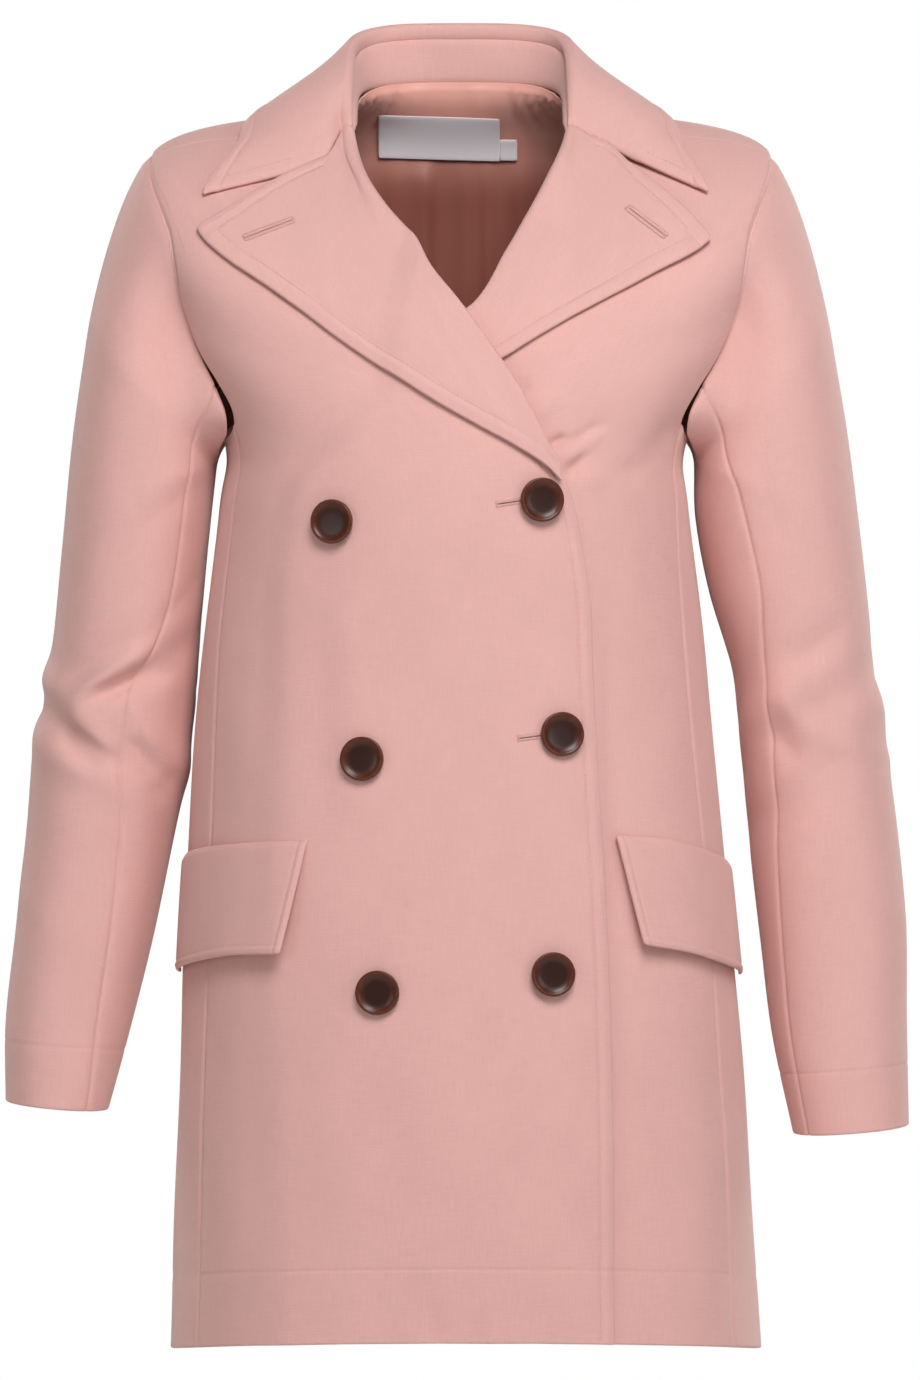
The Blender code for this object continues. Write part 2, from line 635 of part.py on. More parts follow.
def lapel(name, roll, edge, tip, top, lift, material):
    """Lapel: a half-round roll off the front's edge, then a flat leaf over the front."""
    start = tuple(roll[0])
    edge_places = [start] + places_on_front(edge + (tip,), start)
    gorge = tuple(roll[-1])
    top_places = [gorge] + places_on_front(top, edge_places[-1])[::-1] + [edge_places[-1]]
    rows, columns = 18, 7
    low = LAPEL_START_SHARE

    def roll_side(w):
        return by_share(roll, low + (1 - low) * w)

    def edge_side(w):
        return by_share(edge_places, low + (1 - low) * w)

    bottom = line_between(roll_side(0.0), edge_side(0.0))
    leaf = patch(bottom, lambda u: by_share(top_places, u), roll_side, edge_side, columns, rows)
    side = 1.0 if tip[0] > 0 else -1.0
    points = []
    for row, line in enumerate(leaf):
        share = row / rows
        radius = LAPEL_ROLL_RADIUS_AT_BREAK
        radius += (LAPEL_ROLL_RADIUS - LAPEL_ROLL_RADIUS_AT_BREAK) * smoothstep(share * 2.0)
        angle, ring = line[0]
        raised = lift(angle, ring)
        normal = body_normal(angle, ring)
        foot = above(angle, ring, raised)
        inward = body(*line[1]) - body(angle, ring)
        inward -= normal * inward.dot(normal)
        inward /= np.linalg.norm(inward)
        row_points = []
        for degrees in LAPEL_ROLL_BENDS:
            bend = math.radians(degrees)
            out = ROLL_GAP + radius * math.sin(bend)
            row_points.append(foot - inward * out + normal * radius * (1 - math.cos(bend)))
        edge_height = WALL + LEAF_GAP + DOUBLE_CLOTH
        sinking = smoothstep((share - LAPEL_DROP_START) / LAPEL_DROP_SPAN)
        for column, (leaf_angle, leaf_ring) in enumerate(line):
            height = 2 * radius + (edge_height - 2 * radius) * smoothstep(column / columns)
            height -= LAPEL_GORGE_DROP * sinking * (1 - column / columns)
            leaf_lift = lift(leaf_angle, leaf_ring)
            row_points.append(above(leaf_angle, leaf_ring, leaf_lift + height))
        points.append(row_points)
    return add_sheet(name, points, DOUBLE_CLOTH, material, (0.3 * side, -1, 0), -1.0)


def fold_place(angle):
    """Ring of the collar's fold at an angle round the neck."""
    return float(along(COLLAR_FOLD, abs(angle))[0])


def neck_place(angle):
    """Ring of the neck seam at an angle round the neck."""
    return float(along(NECK_SEAM, abs(angle))[0])


def collar_angles(steps):
    """Angles round the neck from the right end of the collar over the back to its left end."""
    first = COLLAR_END_ANGLE
    return [first + (360.0 - 2 * first) * k / steps for k in range(steps + 1)]


def collar_stand(material):
    """Stand between the neck seam and the seam below the fold, on the inside."""
    rows = 3
    grid = []
    for row in range(rows + 1):
        line = []
        for angle in collar_angles(28):
            half = min(angle, 360.0 - angle)
            low, high = neck_place(half), fold_place(half)
            high = low + (high - low) * STAND_SHARE
            low += STAND_FOOT
            high -= STAND_HEAD
            line.append(above(angle, low + (high - low) * row / rows, 0.0))
        grid.append(line)
    return add_sheet("collar_stand", grid, WALL, material, (0, 1, 0))


def bezier(points, share):
    """Cubic curve through its first and last point."""
    a, b, c, d = points
    rest = 1 - share
    return rest**3 * a + 3 * rest**2 * share * b + 3 * rest * share**2 * c + share**3 * d


def fall_line(half_angle, side, columns):
    """Outer face of the collar's fall from its fold to its edge, at one angle round the neck."""
    edge_table = COLLAR_EDGE_LEFT if side > 0 else COLLAR_EDGE_RIGHT
    edge_angle, edge_ring, stand_off = along([(abs(row[0]),) + row[1:] for row in edge_table], half_angle)
    angle = side * half_angle
    ring = fold_place(half_angle)
    normal = body_normal(angle, ring)
    down = body(angle, ring - 0.05) - body(angle, ring)
    down /= np.linalg.norm(down)
    start = above(angle, ring, 2 * COLLAR_ROLL_RADIUS)
    end = above(edge_angle, edge_ring, WALL + DOUBLE_CLOTH + stand_off)
    length = np.linalg.norm(end - start)
    drop = body(edge_angle, edge_ring - 0.05) - body(edge_angle, edge_ring)
    drop /= np.linalg.norm(drop)
    pull_down, pull_out, pull_edge = FALL_PULL
    leave = start + (down * pull_down + normal * pull_out) * length
    controls = (start, leave, end - drop * length * pull_edge, end)
    return [bezier(controls, (c + 1) / columns) for c in range(columns)]


def front_edge_line(side, columns):
    """Front edge of the collar's fall: fold, gorge, notch and tip."""
    notch = NOTCH_LEFT if side > 0 else NOTCH_RIGHT
    edge = (COLLAR_EDGE_LEFT if side > 0 else COLLAR_EDGE_RIGHT)[0]
    start = above(side * COLLAR_END_ANGLE, fold_place(COLLAR_END_ANGLE), 2 * COLLAR_ROLL_RADIUS)
    middle = above(notch[0], notch[1], WALL + DOUBLE_CLOTH + NOTCH_STAND_OFF)
    end = above(edge[1], edge[2], WALL + DOUBLE_CLOTH + edge[3])
    return [by_share((start, middle, end), (c + 1) / columns) for c in range(columns)]


def collar_fall(material):
    """Fall of the collar: from the seam inside, over the fold and down to the outer edge."""
    columns, arc_steps = 8, 3
    ends = {}
    for side in (-1, 1):
        wanted = front_edge_line(side, columns)
        plain = fall_line(COLLAR_END_ANGLE, side, columns)
        ends[side] = [w - p for w, p in zip(wanted, plain)]
    grid = []
    for full_angle in collar_angles(28):
        side = 1 if full_angle <= 180.0 else -1
        half = min(full_angle, 360.0 - full_angle)
        angle = side * half
        low, high = neck_place(half), fold_place(half)
        seam = low + (high - low) * STAND_SHARE + STAND_HEAD
        line = [above(angle, seam, 0.0)]
        normal = body_normal(angle, high)
        up = body(angle, high) - body(angle, high - 0.05)
        up /= np.linalg.norm(up)
        foot = above(angle, high, 0.0)
        for step in range(arc_steps + 1):
            bend = math.pi * step / arc_steps
            out = COLLAR_ROLL_RADIUS * (1 - math.cos(bend))
            line.append(foot + up * COLLAR_ROLL_RADIUS * math.sin(bend) + normal * out)
        share = 1.0 - smoothstep((half - COLLAR_END_ANGLE) / COLLAR_END_SPAN)
        for point, shift in zip(fall_line(half, side, columns), ends[side]):
            line.append(point + shift * share)
        grid.append(line)
    return add_sheet("collar_fall", grid, DOUBLE_CLOTH, material, (0, 1, 0.2), -1.0)


def sleeve_section(table, section, turn):
    """Outer face of the sleeve below the armhole, in mm; section 1 is the first row of the table."""
    z_outer, z_inner, x_outer, x_inner, y_centre, half_depth = rings_at(table, section - 1.0)
    angle = math.radians(turn)
    sine, cosine = math.sin(angle), math.cos(angle)
    reach = (abs(sine) ** SLEEVE_SQUARENESS + abs(cosine) ** SLEEVE_SQUARENESS) ** (-1 / SLEEVE_SQUARENESS)
    sine, cosine = sine * reach, cosine * reach
    x = (x_outer + x_inner) / 2 + (x_outer - x_inner) / 2 * cosine
    z = (z_outer + z_inner) / 2 + (z_outer - z_inner) / 2 * cosine
    return np.array((x, y_centre - half_depth * sine, z))


def sleeve_start(turn, side):
    """Outer face of the sleeve at the armhole seam, and the way the sleeve leaves it."""
    angle, ring = armhole(turn, side)
    point = body(angle, ring)
    normal = body_normal(angle, ring)
    along_seam = body(*armhole(turn + 1.0, side)) - body(*armhole(turn - 1.0, side))
    away = np.cross(normal, along_seam)
    away /= np.linalg.norm(away)
    centre = body(side * 90.0, 6.0)
    if away.dot(centre - point) < 0:
        away = -away
    half = turn % 360.0
    half = min(half, 360.0 - half)
    bend = math.pi * smoothstep((half - SLEEVE_TURN_START) / SLEEVE_TURN_SPAN)
    leave = away * math.cos(bend) + normal * math.sin(bend)
    over = math.sin(bend / 2) ** 2
    start = point + away * SLEEVE_SEAM_GAP + normal * (WALL + LEAF_GAP * over)
    return start, leave


def sleeve_fold(folds, section, turn):
    """Height in mm of the folds of a sleeve."""
    height = 0.0
    for fold_turn, fold_section, half_turn, half_length, lean, size in folds:
        around = (turn - fold_turn + 180.0) % 360.0 - 180.0
        up = (section - fold_section - lean * around) / half_length
        height += size * math.exp(-up * up - (around / half_turn) ** 2)
    return height


def sleeve_point(side, section, turn):
    """Outer face of a sleeve; section 0 is the armhole seam and 9 the cuff."""
    table = SLEEVE_LEFT if side > 0 else SLEEVE_RIGHT
    folds = SLEEVE_FOLDS_LEFT if side > 0 else SLEEVE_FOLDS_RIGHT
    if section >= 1.0:
        point = sleeve_section(table, section, turn)
        mid = (sleeve_section(table, section, turn) + sleeve_section(table, section, turn + 180.0)) / 2
        out = point - mid
        return point + out / np.linalg.norm(out) * sleeve_fold(folds, section, turn)
    start, leave = sleeve_start(turn, side)
    end = sleeve_section(table, 1.0, turn)
    arrive = sleeve_section(table, 1.05, turn) - end
    arrive /= np.linalg.norm(arrive)
    length = np.linalg.norm(end - start)
    t = section
    return (
        (2 * t**3 - 3 * t**2 + 1) * start
        + (t**3 - 2 * t**2 + t) * leave * length * SLEEVE_PULL[0]
        + (3 * t**2 - 2 * t**3) * end
        + (t**3 - t**2) * arrive * length * SLEEVE_PULL[1]
    )


def sleeve_inside(side, section, turn):
    """Inside face of a sleeve, a wall's thickness in from its outer face."""
    step = 0.02
    point = sleeve_point(side, section, turn)
    around = sleeve_point(side, section, turn + 0.5) - sleeve_point(side, section, turn - 0.5)
    down = sleeve_point(side, section + step, turn) - sleeve_point(side, max(section - step, 0.0), turn)
    out = np.cross(around, down) * side
    return point - out / np.linalg.norm(out) * WALL


def sleeve_panel(name, side, upper, material):
    """Upper sleeve (outer side) or under sleeve (side of the body), seam to seam."""
    seam_table = SLEEVE_SEAM_LEFT if side > 0 else SLEEVE_SEAM_RIGHT
    sections = [0.0, 0.15, 0.35, 0.57, 0.8] + list(np.linspace(1.0, 3.5, 6))
    sections += list(np.linspace(3.8, 5.6, 8)) + list(np.linspace(6.1, 9.0, 5))
    columns = 14 if upper else 6
    grid = []
    for section in sections:
        front = float(along(seam_table, section)[0])
        back = SLEEVE_SEAM_BACK
        first, last = (back - 360.0, front) if upper else (front, back)
        first, last = first + SLEEVE_SEAM_HALF_GAP, last - SLEEVE_SEAM_HALF_GAP
        grid.append([sleeve_inside(side, section, first + (last - first) * c / columns)
                     for c in range(columns + 1)])
    outward = (side, 0, 0) if upper else (-side, 0, 0)
    return add_sheet(name, grid, WALL, material, outward)


def pocket_flap(name, top, bottom, stand_off, lift, material):
    """Flap hanging from its seam, its front corner standing off the body."""
    columns, rows = 8, 5
    grid = []
    for row in range(rows + 1):
        down = row / rows
        line = []
        for column in range(columns + 1):
            share = column / columns
            angle, ring = by_share(top, share) * (1 - down) + by_share(bottom, share) * down
            height = WALL + LAYER_GAP + lift(angle, ring)
            height += down * (FLAP_SPRING + stand_off * (1 - share) ** 2)
            line.append(above(angle, ring, height))
        grid.append(line)
    side = 1.0 if top[0][0] > 0 else -1.0
    return add_sheet(name, grid, DOUBLE_CLOTH, material, (side, -1, 0))


def button(number, place, material):
    """Turned button on a short shank, square to the cloth below it."""
    name = f"button_{number}"
    mesh = bpy.data.meshes.new(name)
    edges = [(k, k + 1) for k in range(len(BUTTON_PROFILE) - 1)]
    mesh.from_pydata([(radius * MM, 0.0, height * MM) for radius, height in BUTTON_PROFILE], edges, [])
    mesh.materials.append(material)
    piece = bpy.data.objects.new(name, mesh)
    jacket.objects.link(piece)
    turned = piece.modifiers.new("turned", "SCREW")
    turned.steps = BUTTON_STEPS
    turned.render_steps = BUTTON_STEPS
    turned.use_merge_vertices = True
    turned.merge_threshold = 0.00005
    turned.use_normal_calculate = True
    angle, ring = on_front(place[0], place[1], (place[0] / 2.3, 3.0))
    lift = lift_right(angle, ring)
    piece.location = Vector(above(angle, ring, lift + WALL + SEAM_GAP)) * MM
    piece.rotation_mode = "QUATERNION"
    piece.rotation_quaternion = Vector(body_normal(angle, ring)).to_track_quat("Z", "Y")
    return piece


for leftover in list(bpy.data.objects):
    bpy.data.objects.remove(leftover, do_unlink=True)
jacket = bpy.data.collections.new("double_breasted_jacket")
bpy.context.scene.collection.children.link(jacket)
wool = new_material("wool")
satin = new_material("lining")
woven_label = new_material("label")
horn = new_material("horn")

front_panel("front_right", -1, FRONT_EDGE_RIGHT, ROLL_RIGHT, lift_right, wool)
front_panel("front_left", 1, FRONT_EDGE_LEFT, ROLL_LEFT, lift_none, wool)
for side_name, side_sign in (("right", -1), ("left", 1)):
    side_panel(f"side_{side_name}", side_sign, wool)
    sleeve_panel(f"sleeve_upper_{side_name}", side_sign, True, wool)
    sleeve_panel(f"sleeve_under_{side_name}", side_sign, False, wool)
back_panel(wool)
lapel("lapel_right", ROLL_RIGHT, LAPEL_RIGHT_EDGE, LAPEL_RIGHT_TIP, LAPEL_RIGHT_TOP, lift_right, wool)
lapel("lapel_left", ROLL_LEFT, LAPEL_LEFT_EDGE, LAPEL_LEFT_TIP, LAPEL_LEFT_TOP, lift_none, wool)
collar_stand(wool)
collar_fall(wool)
pocket_flap("pocket_flap_right", FLAP_RIGHT_TOP, FLAP_RIGHT_BOTTOM, FLAP_STAND_OFF_RIGHT, lift_right, wool)
pocket_flap("pocket_flap_left", FLAP_LEFT_TOP, FLAP_LEFT_BOTTOM, FLAP_STAND_OFF_LEFT, lift_none, wool)
for place_number, button_place in enumerate(BUTTON_PLACES, start=1):
    button(place_number, button_place, horn)
back_lining(satin)
label("neck_label", NECK_LABEL, woven_label)
label("size_label", SIZE_LABEL, woven_label)
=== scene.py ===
"""Cloth, lining, labels, buttons, stitching and studio of a women's double-breasted jacket.

Tables are in millimetres and meshes in metres.  +X is the wearer's left, -Y the front, +Z up.
A place on the body of the jacket is (angle, ring): the angle runs from the centre front (0 degrees)
to the wearer's left (90) and the centre back (180); the ring runs from 0 at the hem to 8 at the neck
seam and 9 at the fold of the collar.  Functions take whole arrays of places at once.
"""
import math

import bpy
import numpy as np
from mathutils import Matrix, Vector


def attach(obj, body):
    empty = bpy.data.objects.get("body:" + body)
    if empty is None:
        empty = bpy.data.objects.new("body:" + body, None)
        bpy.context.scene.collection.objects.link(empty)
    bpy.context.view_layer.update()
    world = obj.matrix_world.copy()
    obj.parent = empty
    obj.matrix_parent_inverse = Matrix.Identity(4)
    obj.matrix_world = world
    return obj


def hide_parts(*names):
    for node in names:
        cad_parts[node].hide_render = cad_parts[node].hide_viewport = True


bl_info = {
    "name": "Double-breasted jacket",
    "version": (1, 0, 0),
    "blender": (4, 5, 0),
    "location": "View3D > Sidebar > Jacket",
    "description": "Builds the cloth, buttons, stitching and studio around the jacket's solids",
    "category": "Object",
}

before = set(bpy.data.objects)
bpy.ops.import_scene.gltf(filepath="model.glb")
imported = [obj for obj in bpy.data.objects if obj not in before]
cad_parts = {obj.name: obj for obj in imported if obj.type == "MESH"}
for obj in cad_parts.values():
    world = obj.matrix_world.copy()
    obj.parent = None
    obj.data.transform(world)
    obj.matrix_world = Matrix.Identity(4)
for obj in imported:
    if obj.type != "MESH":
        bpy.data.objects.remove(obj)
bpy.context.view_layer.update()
MM = 0.001

# Cloth and seams, mm
WALL = 2.2
DOUBLE_CLOTH = 2.6
LAYER_GAP = 0.8
LEAF_GAP = 1.9
SEAM_GAP = 0.3
SLEEVE_SEAM_GAP = 1.5
LINING_THICKNESS = 1.0
LABEL_THICKNESS = 0.8
SHOULDER_HALF_WIDTH = 194.0
NECK_HALF_WIDTH = 76.0
LENGTH_AT_SIDE = 766.0

# Rings of the body: z_front, z_side, z_back, half_width, front depth, back depth, squareness, shift
BODY_RINGS = np.array((
    (-749, -LENGTH_AT_SIDE, -772, 184, 138, 130, 2.3, 3.5),     # hem
    (-600, -600, -600, 175, 137, 130, 2.3, 1.0),                # thigh
    (-470, -470, -470, 168, 134, 124, 2.3, -2.0),               # hip
    (-345, -345, -345, 157.5, 130, 110, 2.3, -4.5),             # waist
    (-245, -240, -240, 145, 134, 108, 2.4, -3.5),               # bust
    (-205, -192, -182, 144, 132, 108, 2.4, -2.0),               # underarm
    (-165, -105, -100, 180, 124, 104, 2.4, 0.0),                # middle of the armhole
    (-125, -20, -12, SHOULDER_HALF_WIDTH, 112, 96, 2.2, 0.0),   # shoulder point
    (-85, 0, 28, NECK_HALF_WIDTH, 85, 72, 2.2, 0.0),            # neck seam
    (-60, 24, 70, 67, 72, 67, 4.2, 0.0),                        # fold of the collar
), float)
SHOULDER_RING, NECK_RING, FOLD_RING = 7.0, 8.0, 9.0

# Soft hanging folds: angle, ring of the middle, half width, half height, height
BODY_FOLDS = (
    (58.0, 1.0, 9.0, 2.2, 3.0), (38.0, 0.4, 8.0, 1.6, -2.5), (-52.0, 0.8, 9.0, 2.0, 2.5),
    (-18.0, 0.3, 10.0, 1.4, -1.5), (48.0, 5.1, 10.0, 0.7, 2.5), (-50.0, 5.0, 12.0, 0.8, 2.0),
    (150.0, 1.0, 12.0, 2.4, 3.5), (-152.0, 0.8, 12.0, 2.2, 3.5), (178.0, 2.8, 16.0, 1.2, -3.0),
    (128.0, 5.2, 9.0, 0.8, 3.0), (-128.0, 5.2, 9.0, 0.8, 3.0),
)

# Side seams, degrees, and how the rows of a front run to its edge and neck
SIDE_SEAM_FRONT, SIDE_SEAM_BACK, SEAM_HALF_GAP = 66.0, 118.0, 0.06
EDGE_DROP, EDGE_PART, NECK_PART, GORGE_SAG = 0.15, 0.3, 0.28, 0.09

# Armhole: turn (0 at the shoulder point, 180 under the arm), ring, reach to the front and back
ARMHOLE = (
    (0.0, 7.00, 0.0, 0.0), (20.0, 6.94, 12.0, 11.0), (40.0, 6.78, 18.5, 16.5),
    (60.0, 6.50, 20.0, 18.0), (85.0, 6.10, 18.8, 18.0), (105.0, 5.77, 20.5, 19.5),
    (120.0, 5.53, 24.0, 22.5), (135.0, 5.32, 26.0, 25.0), (150.0, 5.12, 23.0, 24.0),
    (165.0, 5.00, 13.0, 14.0), (180.0, 4.96, 0.0, 0.0),
)

# Front edges (ring, angle) and roll lines (angle, ring)
FRONT_EDGE_RIGHT = ((0.0, 35.4), (1.4, 36.6), (2.4, 36.2), (3.3, 35.2), (3.8, 31.9))
FRONT_EDGE_LEFT = ((0.0, -36.0), (1.4, -37.0), (3.2, -36.5), (4.2, -32.0), (5.1, -21.0), (5.8, -9.5))
LAP_RAMP_START, LAP_RAMP_SPAN, LAP_FADE_RING = 15.0, 10.0, 7.0
LAP_FADE = (-75.0, 40.0)
BREAK_BULGE = (22.0, 6.3, 1.2, 5.2)
ROLL_RIGHT = (
    (31.9, 3.80), (27.5, 4.37), (21.7, 5.08), (14.9, 5.83), (8.6, 6.37), (0.0, 6.97),
    (-10.5, 7.47), (-20.4, 7.91), (-38.0, 8.15), (-55.0, 8.32), (-70.0, 8.50),
)
ROLL_LEFT = (
    (-9.5, 5.80), (-3.5, 6.42), (0.9, 6.90), (4.7, 7.04), (19.0, 7.70), (37.0, 8.08),
    (54.0, 8.28), (70.0, 8.50),
)

# Lapels as seen from the front, mm across and up: break to tip, tip, then tip to collar
LAPEL_RIGHT_EDGE = (
    (68, -240), (58.5, -224.5), (48.8, -214.5), (36.6, -206.3), (12.2, -193.3), (-12.5, -179.8),
    (-46, -157.5), (-75, -137), (-98, -119.5), (-122.5, -102), (-147, -84.5), (-157, -75),
)
LAPEL_RIGHT_TIP = (-160.5, -69.5)
LAPEL_RIGHT_TOP = ((-144, -59), (-130, -50), (-102, -36), (-84, -28.5))
LAPEL_LEFT_EDGE = (
    (-12, -168), (3, -163), (18, -155), (49, -136), (73.5, -122), (98, -109), (122.5, -95.5), (147, -81.5),
)
LAPEL_LEFT_TIP = (153, -76.5)
LAPEL_LEFT_TOP = ((147, -68), (116, -38.5), (88, -17.5))
ROLL_GAP, LAPEL_ROLL_RADIUS, LAPEL_ROLL_RADIUS_AT_BREAK = 3.8, 4.6, 2.8
LAPEL_GORGE_DROP, LAPEL_DROP_START, LAPEL_DROP_SPAN, LAPEL_START_SHARE = 1.2, 0.7, 0.2, 0.06
LAPEL_LEAF_STEP = 1 / 7

# Collar: share of its height that the stand takes, rings of its fold and neck seam by angle, and
# edges of its fall: angle of the fold, angle, ring, stand-off
STAND_SHARE, STAND_FOOT, STAND_HEAD = 0.86, 0.20, 0.012
COLLAR_ROLL_RADIUS, COLLAR_END_ANGLE, COLLAR_END_SPAN = 4.3, 74.0, 26.0
COLLAR_FOLD = ((70.0, 8.66), (80.0, 8.85), (95.0, 8.98), (110.0, FOLD_RING), (180.0, FOLD_RING))
NECK_SEAM = ((70.0, 8.62), (76.0, 8.36), (84.0, 8.1), (90.0, NECK_RING), (180.0, NECK_RING))
FALL_BULGE = (0.10, 0.07)
NOTCH_STAND_OFF = 2.0
COLLAR_EDGE_RIGHT = (
    (74.0, -72.7, 7.22, 1.5), (82.0, -78.7, 7.38, 2.5), (92.0, -86.5, 7.49, 3.0),
    (112.0, -108.0, 7.52, 3.5), (145.0, -144.0, 7.46, 3.0), (180.0, -180.0, 7.42, 2.5),
)
COLLAR_EDGE_LEFT = (
    (74.0, 72.5, 7.27, 1.5), (82.0, 78.4, 7.40, 2.5), (92.0, 86.5, 7.49, 3.0),
    (112.0, 108.0, 7.52, 3.5), (145.0, 144.0, 7.46, 3.0), (180.0, 180.0, 7.42, 2.5),
)
NOTCH_RIGHT = (-70.3, 7.87)
NOTCH_LEFT = (78.6, 7.90)

# Sleeves below the armhole: z_outer, z_inner, x_outer, x_inner, y_centre, half_depth
SLEEVE_RIGHT = np.array((
    (-132, -214, -235, -153.5, 0, 66), (-195, -245, -244, -157, 2, 64),
    (-265, -290, -251, -161.5, 6, 61), (-330, -345, -258, -166, 10, 58.5),
    (-385, -398, -269, -171.5, 13, 56.5), (-440, -452, -273.5, -182, 10, 54),
    (-500, -511, -279.5, -194, 3, 51), (-560, -570, -285.5, -208.5, -7, 47.5),
    (-609, -615, -285, -220.5, -15, 45),
), float)
SLEEVE_LEFT = np.array((
    (-132, -212, 234, 147.5, 0, 66), (-195, -245, 244.5, 148.5, 2, 65),
    (-265, -290, 253.5, 157, 6, 62), (-330, -345, 261, 173, 10, 59),
    (-385, -400, 268.5, 178.5, 12, 57), (-440, -452, 276, 183, 10, 55),
    (-500, -511, 281, 189.5, 4, 52), (-560, -570, 281, 196.5, -5, 49),
    (-624, -630, 281.5, 209, -15, 46),
), float)
SLEEVE_SQUARENESS = 2.2
SLEEVE_TURN_START, SLEEVE_TURN_SPAN = 75.0, 95.0
SLEEVE_PULL = (0.55, 1.0)
SLEEVE_SEAM_HALF_GAP, SLEEVE_STEP_SHARE = 0.16, 0.9
SLEEVE_SEAM_BACK = 236.0    # turn of the hind seam
# Front seam of each sleeve: section of the sleeve (0 at the armhole, 9 at the cuff), turn
SLEEVE_SEAM_RIGHT = (
    (0.0, 120.0), (1.0, 132.0), (2.2, 131.0), (3.2, 127.0), (3.9, 112.0), (4.3, 98.0),
    (5.0, 100.0), (6.0, 110.0), (7.5, 118.0), (9.0, 130.0),
)
SLEEVE_SEAM_LEFT = (
    (0.0, 120.0), (1.0, 128.0), (2.0, 118.0), (3.0, 114.0), (4.0, 126.0), (5.0, 128.0),
    (6.0, 132.0), (7.0, 137.0), (9.0, 141.0),
)
# Folds of the sleeves: turn, section, half turn, half length, lean in sections per degree, height
SLEEVE_FOLDS_RIGHT = (
    (30.0, 4.35, 60.0, 0.20, 0.004, 4.0), (55.0, 4.75, 45.0, 0.20, 0.006, -4.5),
    (60.0, 5.15, 55.0, 0.22, 0.005, 3.5), (120.0, 3.9, 40.0, 0.22, -0.008, -4.0),
    (150.0, 5.0, 45.0, 0.25, 0.004, 3.0), (250.0, 4.4, 50.0, 0.25, 0.003, 3.5),
    (290.0, 4.9, 50.0, 0.25, -0.003, -3.0),
)
SLEEVE_FOLDS_LEFT = (
    (20.0, 4.6, 60.0, 0.28, -0.004, 2.5), (60.0, 4.3, 50.0, 0.25, 0.006, -3.0),
    (120.0, 4.3, 45.0, 0.25, 0.006, 3.5), (130.0, 5.6, 40.0, 0.25, 0.004, -2.5),
    (250.0, 4.5, 50.0, 0.25, 0.003, 3.5), (290.0, 5.0, 50.0, 0.25, -0.003, -3.0),
)

# Pocket flaps: (angle, ring) along their long sides
FLAP_RIGHT_TOP = ((-37.0, 2.19), (-53.0, 2.17), (-65.0, 2.15), (-77.0, 2.12), (-92.0, 2.06))
FLAP_RIGHT_BOTTOM = ((-41.6, 1.66), (-52.0, 1.65), (-62.0, 1.62), (-79.0, 1.56), (-94.0, 1.52))
FLAP_LEFT_TOP = ((40.7, 2.21), (50.0, 2.20), (60.0, 2.16), (72.0, 2.11), (88.0, 2.04))
FLAP_LEFT_BOTTOM = ((44.5, 1.70), (54.2, 1.66), (63.0, 1.61), (75.0, 1.56), (90.0, 1.51))
FLAP_SPRING, FLAP_STAND_OFF_RIGHT, FLAP_STAND_OFF_LEFT = 1.2, 9.0, 7.0

# Buttons, mm across and up as seen from the front
BUTTON_PLACES = ((-75, -250), (48, -237), (-58, -395), (60, -380), (-49, -537), (55, -526))
BUTTON_START = (2.3, 3.0)    # mm per degree and ring from which a button's place is searched for

# Lining: angle of its pleat's fold, width in degrees and height.  Blank labels: x and z of the
# middle, width and height
LINING_GAP = 0.7
LINING_PLEAT = (191.5, 9.0, 4.5)
PLEAT_FOLD_HALF, PLEAT_TOP_RING = 1.2, 7.1
LABEL_DEPTH = LINING_GAP + LINING_THICKNESS + 2.2
NECK_LABEL = (-13.5, 3.5, 78.0, 27.0)
SIZE_LABEL = (31.5, -2.5, 10.5, 13.5)
LABEL_TILT = 0.03
LABEL_START = (75.0, 7.6)    # depth in mm and ring from which a label's place is searched for

# Nominal lengths, mm, that set how many points each grid of cloth has across and up
FRONT_ACROSS, SIDE_ACROSS, BACK_ACROSS, SKIRT_UP, ARMHOLE_UP = 262.0, 140.0, 330.0, 575.0, 230.0
SLEEVE_UPPER_ACROSS, SLEEVE_UNDER_ACROSS = 250.0, 120.0
LAPEL_ACROSS, LAPEL_UP, COLLAR_AROUND, COLLAR_DOWN = 125.0, 290.0, 420.0, 95.0
FLAP_ACROSS, FLAP_DOWN = 135.0, 66.0
# Closer points beside the ends and seams of a grid, and the least distance between two points, mm
CLOSE_OFFSETS = (-2.0, -1.2, -0.6, 0.0, 0.6, 1.2, 2.0)
LEAST_STEP = 0.35

# Pieces that are built: outer face and its normals, and where each notch lies on its piece, mm
surfaces = {}
notch_gaps = {}


# ---------------------------------------------------------------- settings

